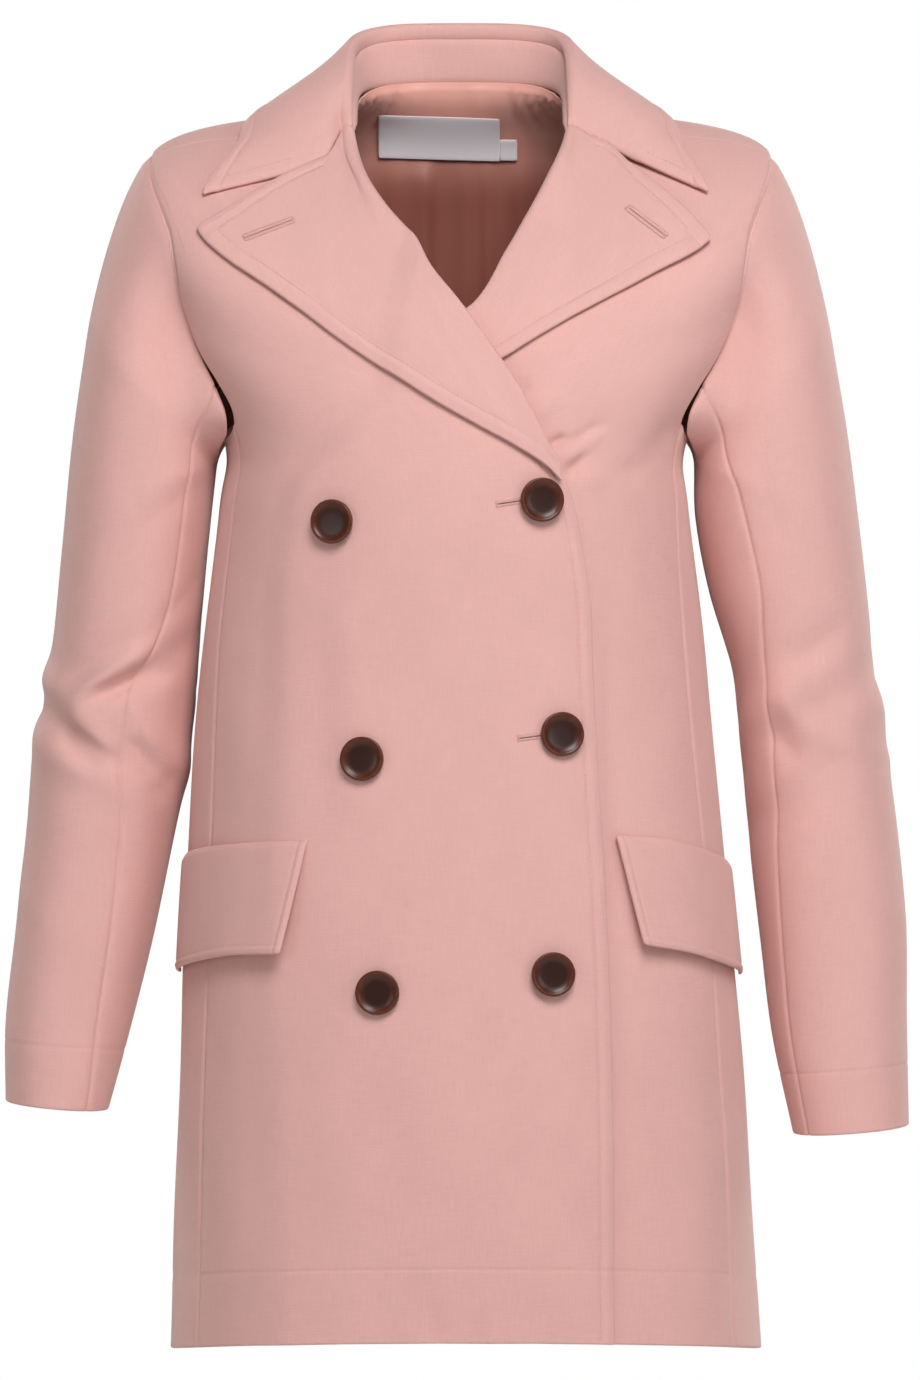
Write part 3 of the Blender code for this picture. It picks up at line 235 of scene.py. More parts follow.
class JacketFinish(bpy.types.PropertyGroup):
    """Colours and finish of the cloth and the trimmings."""
    wool: bpy.props.FloatVectorProperty(
        name="Wool", description="Colour of the wool", subtype="COLOR", size=3,
        default=(0.80, 0.455, 0.415), min=0, max=1)
    # Lining: the satin's colour low down, made dark as painted shade inside the jacket; near the neck seam
    # it turns to the lighter colour below
    lining: bpy.props.FloatVectorProperty(
        name="Lining", description="Colour of the satin lining", subtype="COLOR", size=3,
        default=(0.28, 0.083, 0.057), min=0, max=1)
    # Lining at the neck: a lighter colour that the satin turns to near the neck seam, painted light where
    # light falls into the neck
    lining_painted_light: bpy.props.FloatVectorProperty(
        name="Lining at the neck", description="Colour of the lining's satin by the neck seam",
        subtype="COLOR", size=3, default=(0.86, 0.42, 0.35), min=0, max=1)
    label: bpy.props.FloatVectorProperty(
        name="Label", description="Colour of the blank labels", subtype="COLOR", size=3,
        default=(0.86, 0.80, 0.84), min=0, max=1)
    horn: bpy.props.FloatVectorProperty(
        name="Horn", description="Colour of the buttons", subtype="COLOR", size=3,
        default=(0.030, 0.008, 0.005), min=0, max=1)
    thread_pitch: bpy.props.FloatProperty(
        name="Thread pitch", description="Distance between the threads of the weave",
        default=0.0007, min=0.0003, unit="LENGTH")
    nap: bpy.props.FloatProperty(
        name="Nap", description="Strength of the soft nap on the wool",
        default=0.35, min=0, max=1, subtype="FACTOR")


class JacketMaking(bpy.types.PropertyGroup):
    """Sizes of the sewing and the trimmings."""
    mesh_step: bpy.props.FloatProperty(
        name="Mesh step", description="Distance between the points of the cloth",
        default=0.0034, min=0.002, unit="LENGTH")
    hem_depth: bpy.props.FloatProperty(
        name="Hem depth", description="Height of the hem's stitching above its fold",
        default=0.044, unit="LENGTH")
    cuff_depth: bpy.props.FloatProperty(
        name="Cuff depth", description="Height of the cuff's stitching above its fold",
        default=0.038, unit="LENGTH")
    edge_stitch: bpy.props.FloatProperty(
        name="Edge stitch", description="Distance of the topstitching from the front edge",
        default=0.0085, unit="LENGTH")
    stitch_length: bpy.props.FloatProperty(
        name="Stitch length", description="Length of one stitch",
        default=0.0024, unit="LENGTH")
    thread_radius: bpy.props.FloatProperty(
        name="Thread radius", description="Radius of the sewing thread",
        default=0.00024, unit="LENGTH")
    button_radius: bpy.props.FloatProperty(
        name="Button radius", description="Radius of a button",
        default=0.0135, unit="LENGTH")


class JacketStudio(bpy.types.PropertyGroup):
    """Camera, light and floor."""
    camera_distance: bpy.props.FloatProperty(
        name="Camera distance", description="From the camera to the middle of the jacket",
        default=4.0, unit="LENGTH")
    camera_height: bpy.props.FloatProperty(
        name="Camera height", description="Height of the level camera above the origin",
        default=-0.3528, unit="LENGTH")
    floor_height: bpy.props.FloatProperty(
        name="Floor height", description="Height of the floor below the hanging jacket",
        default=-1.15, unit="LENGTH")
    key_power: bpy.props.FloatProperty(
        name="Key light", description="Power of the strongest light", default=46.0, unit="POWER")
    air_light: bpy.props.FloatProperty(
        name="Air light", description="Strength of the even light from all round", default=0.12, min=0)


# ---------------------------------------------------------------- the form

def smoothstep(value):
    """Ease from 0 to 1."""
    value = np.clip(value, 0.0, 1.0)
    return value * value * (3.0 - 2.0 * value)


def hermite(t, start, leave, end, arrive):
    """Smooth way from start to end at shares t, with its direction and speed at both."""
    return (
        (2 * t**3 - 3 * t**2 + 1) * start + (t**3 - 2 * t**2 + t) * leave
        + (3 * t**2 - 2 * t**3) * end + (t**3 - t**2) * arrive
    )


def halved(low, high, holds):
    """Value up to which a test holds, which holds at the low end and fails at the high one."""
    for _ in range(30):
        middle = (low + high) / 2
        if holds(middle):
            low = middle
        else:
            high = middle
    return low


def lengths_along(line):
    """Distance in mm of each point of a line from its start."""
    return np.concatenate(((0.0,), np.cumsum(np.linalg.norm(np.diff(line, axis=0), axis=1))))


def straight(line, keys, places):
    """Points of a line, straight between its own points, at places among their keys."""
    return np.stack([np.interp(places, keys, column) for column in line.T], axis=-1)


def along(table, key):
    """Smooth values of a table at the keys; its first column is the key."""
    rows = np.array(table, float)
    if rows[0, 0] > rows[-1, 0]:
        rows = rows[::-1]
    keys, values = rows[:, 0], rows[:, 1:]
    key = np.clip(np.asarray(key, float), keys[0], keys[-1])
    i = np.clip(np.searchsorted(keys, key, side="right") - 1, 0, len(keys) - 2)
    rises = np.diff(values, axis=0) / np.diff(keys)[:, None]
    slopes = np.vstack((rises[:1], np.zeros_like(rises[1:]), rises[-1:]))
    for k in range(1, len(rises)):
        before, after = rises[k - 1], rises[k]
        same = before * after > 0
        slopes[k, same] = 2 * before[same] * after[same] / (before[same] + after[same])
    step = (keys[i + 1] - keys[i])[..., None]
    t = (key - keys[i])[..., None] / step
    return hermite(t, values[i], step * slopes[i], values[i + 1], step * slopes[i + 1])


def by_share(points, share):
    """Smooth points of an outline at shares of its length."""
    points = np.array(points, float)
    steps = np.linalg.norm(np.diff(points, axis=0), axis=1)
    keys = np.concatenate(((0.0,), np.cumsum(steps))) / steps.sum()
    return along(np.column_stack((keys, points)), share)


def rings_at(table, place):
    """Rows of a table of sections at places between its rows, smooth, and straight past its ends."""
    last = len(table) - 1
    padded = np.vstack((2 * table[0] - table[1], table, 2 * table[-1] - table[-2]))
    place = np.asarray(place, float)
    i = np.clip(np.floor(place).astype(int), 0, last - 1)
    t = (place - i)[..., None]
    before, here, there, after = padded[i], padded[i + 1], padded[i + 2], padded[i + 3]
    return hermite(t, here, (there - before) / 2, there, (after - here) / 2)


def body(angle, ring):
    """Inside face of the cloth at places on the body, mm."""
    angle, ring = np.broadcast_arrays(np.asarray(angle, float), np.asarray(ring, float))
    rows = np.moveaxis(rings_at(BODY_RINGS, ring), -1, 0)
    z_front, z_side, z_back, half_width, front, back, square, shift = rows
    turn = np.radians(angle)
    sine, cosine = np.sin(turn), np.cos(turn)
    depth = np.where(cosine > 0, front, back)
    reach = (np.abs(sine / half_width) ** square + np.abs(cosine / depth) ** square) ** (-1 / square)
    for fold_angle, fold_ring, width, height, size in BODY_FOLDS:
        across = ((angle - fold_angle + 180.0) % 360.0 - 180.0) / width
        reach = reach + size * np.exp(-across**2 - ((ring - fold_ring) / height) ** 2)
    x, y = reach * sine, -reach * cosine
    bend = ((z_back - z_side) / back + (z_front - z_side) / front) / (front + back)
    tilt = (z_back - z_side) / back - bend * back
    return np.stack((x + shift, y, z_side + tilt * y + bend * y * y), axis=-1)


def unit(vectors):
    """Vectors made one long."""
    return vectors / np.maximum(np.linalg.norm(vectors, axis=-1, keepdims=True), 1e-9)


def body_normal(angle, ring):
    """Outward direction of the cloth at places on the body."""
    across = body(angle + 0.2, ring) - body(angle - 0.2, ring)
    up = body(angle, ring + 0.01) - body(angle, ring - 0.01)
    return unit(np.cross(across, up))


def above(places, height):
    """Points a height in mm outside the inside face, at an array of (angle, ring)."""
    angle, ring = places[..., 0], places[..., 1]
    return body(angle, ring) + body_normal(angle, ring) * np.asarray(height)[..., None]


def on_front(x, z, start):
    """Place that shows at x and z (mm) from the front, near a start."""
    angle, ring = start
    for _ in range(40):
        here = body(angle, ring)[[0, 2]]
        miss = here - (x, z)
        if abs(miss).max() < 0.01:
            break
        by_angle = (body(angle + 0.05, ring)[[0, 2]] - here) / 0.05
        by_ring = (body(angle, ring + 0.005)[[0, 2]] - here) / 0.005
        step = np.linalg.solve(np.column_stack((by_angle, by_ring)), -miss)
        angle += float(np.clip(step[0], -12.0, 12.0))
        ring += float(np.clip(step[1], -0.3, 0.3))
    return angle, ring


def places_on_front(outline, start):
    """Places of an outline, each searched for from the one before it."""
    places = []
    for x, z in outline:
        start = on_front(x, z, start)
        places.append(start)
    return places


def lift_right(places):
    """How far the right front stands out to clear the left front and lapel below it."""
    angle, ring = places[..., 0], places[..., 1]
    edge = along(FRONT_EDGE_LEFT, np.minimum(ring, FRONT_EDGE_LEFT[-1][0]))[..., 0]
    lap = (WALL + LAYER_GAP) * smoothstep((angle - edge + LAP_RAMP_START) / LAP_RAMP_SPAN)
    fade = smoothstep((angle - LAP_FADE[0]) / LAP_FADE[1])
    lap = np.where(ring > LAP_FADE_RING, lap * fade, lap)
    half_width, bulge_ring, half_height, bulge = BREAK_BULGE
    across, up = angle / half_width, (ring - bulge_ring) / half_height
    return lap + bulge * np.exp(-across * across - up * up)


def lift_none(places):
    """The other panels lie on the form itself."""
    return np.zeros(places.shape[:-1])


def armhole(turn, side):
    """Places on the body of the armhole seam; turn 0 is the top, 90 the front, 270 the back."""
    turn = np.asarray(turn, float) % 360.0
    front = turn <= 180.0
    rows = along(ARMHOLE, np.where(front, turn, 360.0 - turn))
    angle = np.where(front, 90.0 - rows[..., 1], 90.0 + rows[..., 2])
    return np.stack((side * angle, rows[..., 0]), axis=-1)


def turn_at_angle(angle, front):
    """Turn under the arm at which the armhole crosses the side seam."""
    turn = halved(140.0, 180.0, lambda turn: along(ARMHOLE, turn)[1 if front else 2] > abs(angle - 90.0))
    return turn if front else 360.0 - turn


def patch(bottom, top, left, right, across, up):
    """Grid of places between four sides, each a function of shares from 0 to 1."""
    u, w = across[None, :, None], up[:, None, None]
    ends = np.array((0.0, 1.0))
    low, high = bottom(ends), top(ends)
    sides = (1 - w) * bottom(across)[None] + w * top(across)[None]
    sides = sides + (1 - u) * left(up)[:, None] + u * right(up)[:, None]
    inner = (1 - u) * (1 - w) * low[0] + u * (1 - w) * low[1]
    return sides - inner - (1 - u) * w * high[0] - u * w * high[1]


def line_between(first, last):
    """Straight side of a patch."""
    first, last = np.array(first, float), np.array(last, float)
    return lambda share: first + (last - first) * np.asarray(share, float)[..., None]


def polyline(points, breaks):
    """Side of a patch through points at given shares."""
    points = np.array(points, float)
    return lambda share: straight(points, breaks, share)


def spaced(length, step, marks=()):
    """Shares of a length in even steps, with closer ones at its ends and at marks, in mm."""
    places = list(np.linspace(0.0, length, max(int(round(length / step)), 1) + 1))
    for mark in (0.0, length, *marks):
        places.extend(mark + offset for offset in CLOSE_OFFSETS)
    kept = [0.0]
    for place in sorted(places):
        if place - kept[-1] > LEAST_STEP and place < length - LEAST_STEP:
            kept.append(place)
    return np.array(kept + [length]) / length


# ---------------------------------------------------------------- cloth

def measure(points):
    """Distance in mm of each point of a grid from its left, right, bottom and top side."""
    across = np.linalg.norm(np.diff(points, axis=1), axis=2)
    across = np.concatenate((np.zeros((len(points), 1)), np.cumsum(across, axis=1)), axis=1)
    up = np.linalg.norm(np.diff(points, axis=0), axis=2)
    up = np.concatenate((np.zeros((1, points.shape[1])), np.cumsum(up, axis=0)), axis=0)
    return {"left": across, "right": across[:, -1:] - across, "bottom": up, "top": up[-1:] - up}


# Pressed seams, troughs of the stitching and welts beside it, mm; a welt's place is a share of
# its distance from the edge
SEAM_DIP, SEAM_DIP_WIDTH = 1.0, 1.5
TROUGH_DEPTH, TROUGH_WIDTH, HEM_TROUGH_DEPTH, CUFF_TROUGH_DEPTH = 0.55, 1.0, 0.45, 0.4
WELT_HEIGHT, WELT_MIDDLE, WELT_HALF_WIDTH, FRONT_WELT_HEIGHT = 0.6, 0.5, 0.34, 1.1
TROUGH_START_SPAN = 3.0
ARMHOLE_DIP_WIDTH = 3.0
FLAP_STITCH = 4.0
FLAP_TROUGHS = tuple((side, FLAP_STITCH, 0.3, 0.5, 0.0) for side in ("left", "top"))


def relief(points, seams=(), troughs=()):
    """Height in mm of the pressed seams at some sides, and of stitching along some sides.

    A row of stitching has its side, its distance from it, its depth, the height of the thick welt
    between it and the edge, and how far from the left side of the grid it starts.
    """
    gaps = measure(points)
    height = np.zeros(points.shape[:2])
    for side in seams:
        height -= SEAM_DIP * np.exp(-(gaps[side] / SEAM_DIP_WIDTH) ** 2)
    for side, distance, depth, welt, start in troughs:
        row = welt * np.exp(-((gaps[side] / distance - WELT_MIDDLE) / WELT_HALF_WIDTH) ** 2)
        row -= depth * np.exp(-((gaps[side] - distance) / TROUGH_WIDTH) ** 2)
        height += row * (smoothstep((gaps["left"] - start) / TROUGH_START_SPAN) if start else 1.0)
    return height


def grid_normals(points, outward):
    """Direction of a grid's outer face at each point."""
    normals = unit(np.cross(np.gradient(points, axis=1), np.gradient(points, axis=0)))
    middle = normals[len(points) // 2, points.shape[1] // 2]
    return normals if middle @ np.array(outward, float) > 0 else -normals


def shell(name, node, outer, inner, materials, inner_slots=None, rim=1.0):
    """Closed cloth between two grids of points in mm, with rounded edges and its own cloth map."""
    rows, columns = outer.shape[:2]
    count = rows * columns
    index = np.arange(count).reshape(rows, columns)
    lengths = measure(outer)
    mid_row, mid_column = rows // 2, columns // 2
    u = lengths["left"] - lengths["left"][:, mid_column:mid_column + 1]
    v = lengths["bottom"] - lengths["bottom"][mid_row:mid_row + 1]
    chart = np.stack((u, v), axis=-1).reshape(-1, 2)
    ring = np.concatenate((index[0, :-1], index[:-1, -1], index[-1, :0:-1], index[:0:-1, 0]))
    inward = np.concatenate((index[1, :-1], index[:-1, -2], index[-2, :0:-1], index[:0:-1, 1]))
    flat_outer, flat_inner = outer.reshape(-1, 3), inner.reshape(-1, 3)
    middle = (flat_outer[ring] + flat_inner[ring]) / 2
    across = (flat_outer[ring] - flat_inner[ring]) / 2
    out = unit(middle - (flat_outer[inward] + flat_inner[inward]) / 2)
    half = np.linalg.norm(across, axis=1, keepdims=True)
    turns = [math.pi * k / 4 for k in (1, 2, 3)]
    rims = [middle + across * math.cos(t) + out * half * rim * math.sin(t) for t in turns]
    points = np.vstack([flat_outer, flat_inner] + rims) * MM
    chart = np.vstack([chart, chart] + [chart[ring]] * len(rims)) * MM
    quads = np.stack((index[:-1, :-1], index[:-1, 1:], index[1:, 1:], index[1:, :-1]), axis=-1)
    quads = quads.reshape(-1, 4)
    loops = [ring] + [2 * count + k * len(ring) + np.arange(len(ring)) for k in range(3)] + [ring + count]
    sides = [np.stack((a, b, np.roll(b, -1), np.roll(a, -1)), axis=-1) for a, b in zip(loops, loops[1:])]
    faces = np.vstack([quads, quads[:, ::-1] + count] + sides)
    quad = flat_outer[quads[len(quads) // 2]]
    facing = np.cross(quad[1] - quad[0], quad[3] - quad[0])
    if facing @ (flat_outer - flat_inner)[quads[len(quads) // 2][0]] < 0:
        faces = faces[:, ::-1]
    mesh = bpy.data.meshes.new(name)
    mesh.from_pydata(points.tolist(), [], faces.tolist())
    for material in materials:
        mesh.materials.append(material)
    if inner_slots is not None:
        slots = np.zeros(len(faces), np.int32)
        slots[len(quads):2 * len(quads)] = inner_slots.reshape(-1)[quads[:, 0]]
        mesh.polygons.foreach_set("material_index", slots)
    cloth_map = mesh.uv_layers.new(name="cloth")
    corners = np.zeros(len(mesh.loops), np.int32)
    mesh.loops.foreach_get("vertex_index", corners)
    cloth_map.data.foreach_set("uv", chart[corners].reshape(-1))
    mesh.shade_smooth()
    piece = bpy.data.objects.new(name, mesh)
    bpy.context.scene.collection.objects.link(piece)
    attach(piece, "root")
    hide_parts(node)
    return piece


# Creases of the cloth as seen from the front, mm: from x, z to x, z, half width, height.  Those of
# the left front are its puckers beside the break of the lapel, and last the trough beside the
# edge of the right front that laps over it; those of the right front are long and soft.
LEFT_CREASES = (
    (64, -222, 78, -209, 2.8, -4.2), (60, -214, 88, -193, 4.5, 2.4), (63, -207, 90, -188, 4.0, -2.3),
    (30, -174, 42, -164, 3.0, -3.2), (53, -206, 65, -197, 3.0, -3.6), (42, -188, 62, -172, 6.0, 1.8),
    (84, -228, 117, -212, 7.0, -1.8), (114, -213, 139, -181, 7.0, -1.8), (70, -226, 104, -222, 7.0, 1.6),
    (91.0, -280.0, 98.5, -748.0, 6.5, -2.5),
)
RIGHT_CREASES = (
    (-70, -255, -62, -460, 13.0, 0.9), (-88, -300, -82, -450, 12.0, -1.3), (-28, -560, 20, -700, 22.0, 0.9),
    (-20, -722, -14, -758, 9.0, -1.6), (18, -716, 22, -758, 10.0, 1.4), (48, -724, 44, -758, 9.0, -1.5),
)
BACK_CREASES = (
    (-120, -178, -70, -150, 9.0, 1.5), (118, -176, 66, -146, 9.0, 1.6),
    (-60, -330, 40, -322, 12.0, -1.2), (-40, -352, 64, -360, 12.0, 1.1),
)
# Slow unevenness of the hanging cloth: wavelengths across and up, turn of the phase, height, mm
SOFT_WAVES = (
    (210.0, 340.0, 0.4, 0.55), (130.0, -260.0, 1.9, 0.40), (84.0, 150.0, 3.1, 0.22),
)


def crease_height(points, table, front):
    """Height in mm of creases on the side of the body that faces the front or the back."""
    x, y, z = points[..., 0], points[..., 1], points[..., 2]
    height = np.zeros(x.shape)
    for x0, z0, x1, z1, half_width, size in table:
        span = math.hypot(x1 - x0, z1 - z0)
        share = ((x - x0) * (x1 - x0) + (z - z0) * (z1 - z0)) / span**2
        apart = ((x - x0) * (z1 - z0) - (z - z0) * (x1 - x0)) / span
        height += size * np.exp(-((apart / half_width) ** 2) - ((share - 0.5) / 0.42) ** 4)
    return height * (y < 0 if front else y > 0)


def wave_height(points):
    """Height in mm of the cloth's slow unevenness."""
    height = np.zeros(points.shape[:2])
    girth = np.arctan2(points[..., 0], -points[..., 1]) * 150.0
    for across, up, phase, size in SOFT_WAVES:
        height += size * np.sin(2 * math.pi * (girth / across + points[..., 2] / up) + phase)
    return height


def lined(places, hem, front_facing):
    """Which inside faces show the lining: 0 for wool at hem and facing, 1 for satin above them."""
    gaps = measure(above(places, lift_none(places)))
    return ((gaps["bottom"] > hem) & (gaps["left"] > front_facing)).astype(np.int32)


def body_cloth(name, places, lift, seams, troughs, creases, facing, hem, front_facing=-1.0):
    """Cloth panel on the body from its grid of places, with satin inside above its hem."""
    base = above(places, lift(places) + WALL)
    height = relief(base, seams, troughs) + crease_height(base, creases, facing[1] < 0) + wave_height(base)
    raised = lift(places) + height
    outer, inner = above(places, raised + WALL), above(places, raised)
    surfaces[name] = outer, grid_normals(outer, facing)
    slots = lined(places, hem, front_facing)
    shell(name + "_cloth", name, outer, inner, [wool(), satin()], slots)


# Rings that a roll line is drawn back by, and the shares of it where that starts and grows
FRONT_TUCK, TUCK_START, TUCK_SPAN = 0.16, 0.45, 0.25
FACING_WIDTH = 92.0


def tucked(places, share):
    """Roll line of a front drawn back below its lapel where the lapel joins the collar."""
    back = FRONT_TUCK * smoothstep((np.asarray(share, float) - TUCK_START) / TUCK_SPAN)
    return places - np.stack((np.zeros_like(back), back), axis=-1)


def front_places(side, edge, roll, step, hem_depth, edge_stitch):
    """Grid of a front from its edge and roll line to the side seam, armhole, shoulder and neck."""
    seam = side * (SIDE_SEAM_FRONT - SEAM_HALF_GAP)
    seam_turn = turn_at_angle(abs(seam), True)
    seam_top = float(along(ARMHOLE, seam_turn)[0])
    break_ring = edge[-1][0]
    base = min(break_ring, seam_top)
    across = spaced(FRONT_ACROSS, step, (edge_stitch,))

    def edge_at(ring):
        return np.stack((along(edge, ring)[..., 0], np.asarray(ring, float)), axis=-1)

    heights = body(side * 40.0, np.linspace(0.0, base, 200))[:, 2]
    length = heights[-1] - heights[0]
    rings = np.interp(spaced(length, step, (hem_depth,)) * length + heights[0], heights,
                      np.linspace(0.0, base, 200))
    starts = edge_at(rings)
    ends = np.stack((np.full(len(rings), seam), rings), axis=-1)
    if break_ring < seam_top:
        low = halved(0.0, 1.0, lambda share: by_share(roll, share)[1] < seam_top - EDGE_DROP)
        rise = np.linspace(0.0, 1.0, 28)[1:]
        starts = np.vstack((starts, by_share(roll, low * rise)))
        more = np.stack((np.full(len(rise), seam), base + (seam_top - base) * rise), axis=-1)
        ends = np.vstack((ends, more))

    def inner_side(w):
        if break_ring < seam_top:
            return tucked(by_share(roll, low + (1 - low) * w), low + (1 - low) * w)
        first = edge_at(seam_top + (break_ring - seam_top) * np.minimum(w / EDGE_PART, 1.0))
        share = np.maximum((w - EDGE_PART) / (1 - EDGE_PART), 0.0)
        second = tucked(by_share(roll, share), share)
        return np.where((w < EDGE_PART)[..., None], first, second)

    def outer_side(w):
        return armhole(seam_turn * (1 - w), side)

    gorge = inner_side(np.array((1.0,)))[0]
    neck, shoulder = (side * 90.0, NECK_RING), (side * 90.0, SHOULDER_RING)
    gorge_middle = ((gorge[0] + neck[0]) / 2, (gorge[1] + neck[1]) / 2 - GORGE_SAG)
    top = polyline((gorge, gorge_middle, neck, shoulder), (0.0, NECK_PART / 2, NECK_PART, 1.0))
    zero = np.array((0.0,))
    bottom = line_between(inner_side(zero)[0], outer_side(zero)[0])
    lower = starts[:, None] * (1 - across)[None, :, None] + ends[:, None] * across[None, :, None]
    upper = patch(bottom, top, inner_side, outer_side, across, spaced(ARMHOLE_UP, step))
    places = np.concatenate((lower, upper[1:]))
    limit = 90.0 - 2 * SEAM_HALF_GAP
    places[..., 0] = np.clip(places[..., 0], -limit, limit)
    return places


def side_places(side, step, hem_depth):
    """Grid of the panel under the arm."""
    first, last = SIDE_SEAM_FRONT + SEAM_HALF_GAP, SIDE_SEAM_BACK - SEAM_HALF_GAP
    turn_front, turn_back = turn_at_angle(first, True), turn_at_angle(last, False)
    across = spaced(SIDE_ACROSS, step)
    up = spaced(SKIRT_UP, step, (hem_depth,))
    angle = first + (last - first) * across
    top = armhole(turn_front + (turn_back - turn_front) * across, 1)
    ease = up[:, None] ** 6
    angles = side * (angle + (top[None, :, 0] - angle) * ease)
    return np.stack((angles, top[None, :, 1] * up[:, None]), axis=-1)


def back_places(step, hem_depth=None):
    """Grid of the back, or with no hem only of its part beside the armholes."""
    first = SIDE_SEAM_BACK + SEAM_HALF_GAP
    seam_turn = turn_at_angle(first, False)
    seam_top = float(along(ARMHOLE, 360.0 - seam_turn)[0])

    def left(w):
        return armhole(seam_turn + (360.0 - seam_turn) * np.asarray(w, float), 1)

    def right(w):
        return left(w) * (-1.0, 1.0) + (360.0, 0.0)

    top = polyline(
        [(90.0, SHOULDER_RING), (90.0, NECK_RING), (135.0, NECK_RING), (180.0, NECK_RING),
         (225.0, NECK_RING), (270.0, NECK_RING), (270.0, SHOULDER_RING)],
        (0.0, 5 / 16, 6.5 / 16, 0.5, 9.5 / 16, 11 / 16, 1.0))
    ends = left(np.array((0.0,)))[0], right(np.array((0.0,)))[0]
    across = spaced(BACK_ACROSS, step)
    places = patch(line_between(*ends), top, left, right, across, spaced(ARMHOLE_UP, step))
    if hem_depth is not None:
        rings = spaced(SKIRT_UP, step, (hem_depth,))[:-1] * seam_top
        starts = np.stack((np.full(len(rings), first), rings), axis=-1)[:, None]
        finish = np.stack((np.full(len(rings), 360.0 - first), rings), axis=-1)[:, None]
        skirt = starts * (1 - across)[None, :, None] + finish * across[None, :, None]
        places = np.concatenate((skirt, places))
    places[..., 0] = np.clip(places[..., 0], 90.0 + 2 * SEAM_HALF_GAP, 270.0 - 2 * SEAM_HALF_GAP)
    return places


# ---------------------------------------------------------------- materials

def shader_of(name):
    """New material with its nodes and its shader."""
    material = bpy.data.materials.new(name)
    material.use_nodes = True
    tree = material.node_tree
    return material, tree, tree.nodes["Principled BSDF"]


def add_node(tree, kind, inputs=None, **settings):
    """Node of a kind, with its settings and inputs: values, or sockets to link from."""
    made = tree.nodes.new(kind)
    for key, value in settings.items():
        setattr(made, key, value)
    for key, value in (inputs or {}).items():
        if isinstance(value, bpy.types.NodeSocket):
            tree.links.new(value, made.inputs[key])
        else:
            made.inputs[key].default_value = value
    return made


def math_node(tree, operation, first, second=0.0):
    """Result of a sum on two values or sockets."""
    return add_node(tree, "ShaderNodeMath", {0: first, 1: second}, operation=operation).outputs[0]


def stretched_noise(tree, chart, scale, detail=2.0):
    """Noise on the cloth map, with a scale across and along the grain, per metre."""
    placed = add_node(tree, "ShaderNodeMapping", {"Vector": chart, "Scale": scale})
    return add_node(tree, "ShaderNodeTexNoise", {
        "Vector": placed.outputs[0], "Scale": 1.0, "Detail": detail, "Roughness": 0.6}).outputs["Fac"]


def tint(tree, colour, factor, darker):
    """Colour mixed with a darker one by a factor."""
    mix = add_node(tree, "ShaderNodeMix", data_type="RGBA")
    mix.inputs[6].default_value = (*[c * darker for c in colour], 1.0)
    mix.inputs[7].default_value = (*colour, 1.0)
    tree.links.new(factor, mix.inputs[0])
    return mix.outputs[2]


def wool_material(finish):
    """Fine plain-woven wool: crossing threads of uneven thickness under a soft nap."""
    material, tree, shader = shader_of("pink_wool")
    chart = add_node(tree, "ShaderNodeUVMap", uv_map="cloth").outputs[0]
    parts = add_node(tree, "ShaderNodeSeparateXYZ", {0: chart})
    turn = 2 * math.pi / finish.thread_pitch
    warp = math_node(tree, "SINE", math_node(tree, "MULTIPLY", parts.outputs[0], turn))
    weft = math_node(tree, "SINE", math_node(tree, "MULTIPLY", parts.outputs[1], turn))
    weave = math_node(tree, "MULTIPLY", warp, weft)
    slub_weft = stretched_noise(tree, chart, (70.0, 1300.0, 1.0))
    slub_warp = stretched_noise(tree, chart, (1300.0, 70.0, 1.0))
    nap = stretched_noise(tree, chart, (2400.0, 2400.0, 1.0), 3.0)
    cloud = stretched_noise(tree, chart, (28.0, 20.0, 1.0))
    slubs = math_node(tree, "MULTIPLY", math_node(tree, "ADD", slub_weft, slub_warp), 0.5)
    tone = math_node(tree, "ADD", math_node(tree, "MULTIPLY", slubs, 0.75),
                     math_node(tree, "MULTIPLY", cloud, 0.25))
    spread = add_node(tree, "ShaderNodeMapRange", {"Value": tone, "From Min": 0.30, "From Max": 0.70})
    colour = tint(tree, finish.wool, spread.outputs[0], 0.86)
    tree.links.new(colour, shader.inputs["Base Color"])
    height = math_node(tree, "ADD", math_node(tree, "MULTIPLY", weave, 0.25),
                       math_node(tree, "MULTIPLY", slubs, 1.6))
    height = math_node(tree, "ADD", height, math_node(tree, "MULTIPLY", nap, 0.5))
    bump = add_node(tree, "ShaderNodeBump", {"Strength": 0.35, "Distance": 0.00035, "Height": height})
    tree.links.new(bump.outputs[0], shader.inputs["Normal"])
    shader.inputs["Roughness"].default_value = 0.88
    shader.inputs["Specular IOR Level"].default_value = 0.22
    shader.inputs["Sheen Weight"].default_value = finish.nap
    shader.inputs["Sheen Roughness"].default_value = 0.45
    shader.inputs["Sheen Tint"].default_value = (1.0, 0.86, 0.82, 1.0)
    return material


# Heights in metres over which the lining's satin turns from its dark lower colour, painted shade, to its
# light upper colour, painted light
PAINTED_LIGHT_HEIGHTS = (-0.042, 0.032)


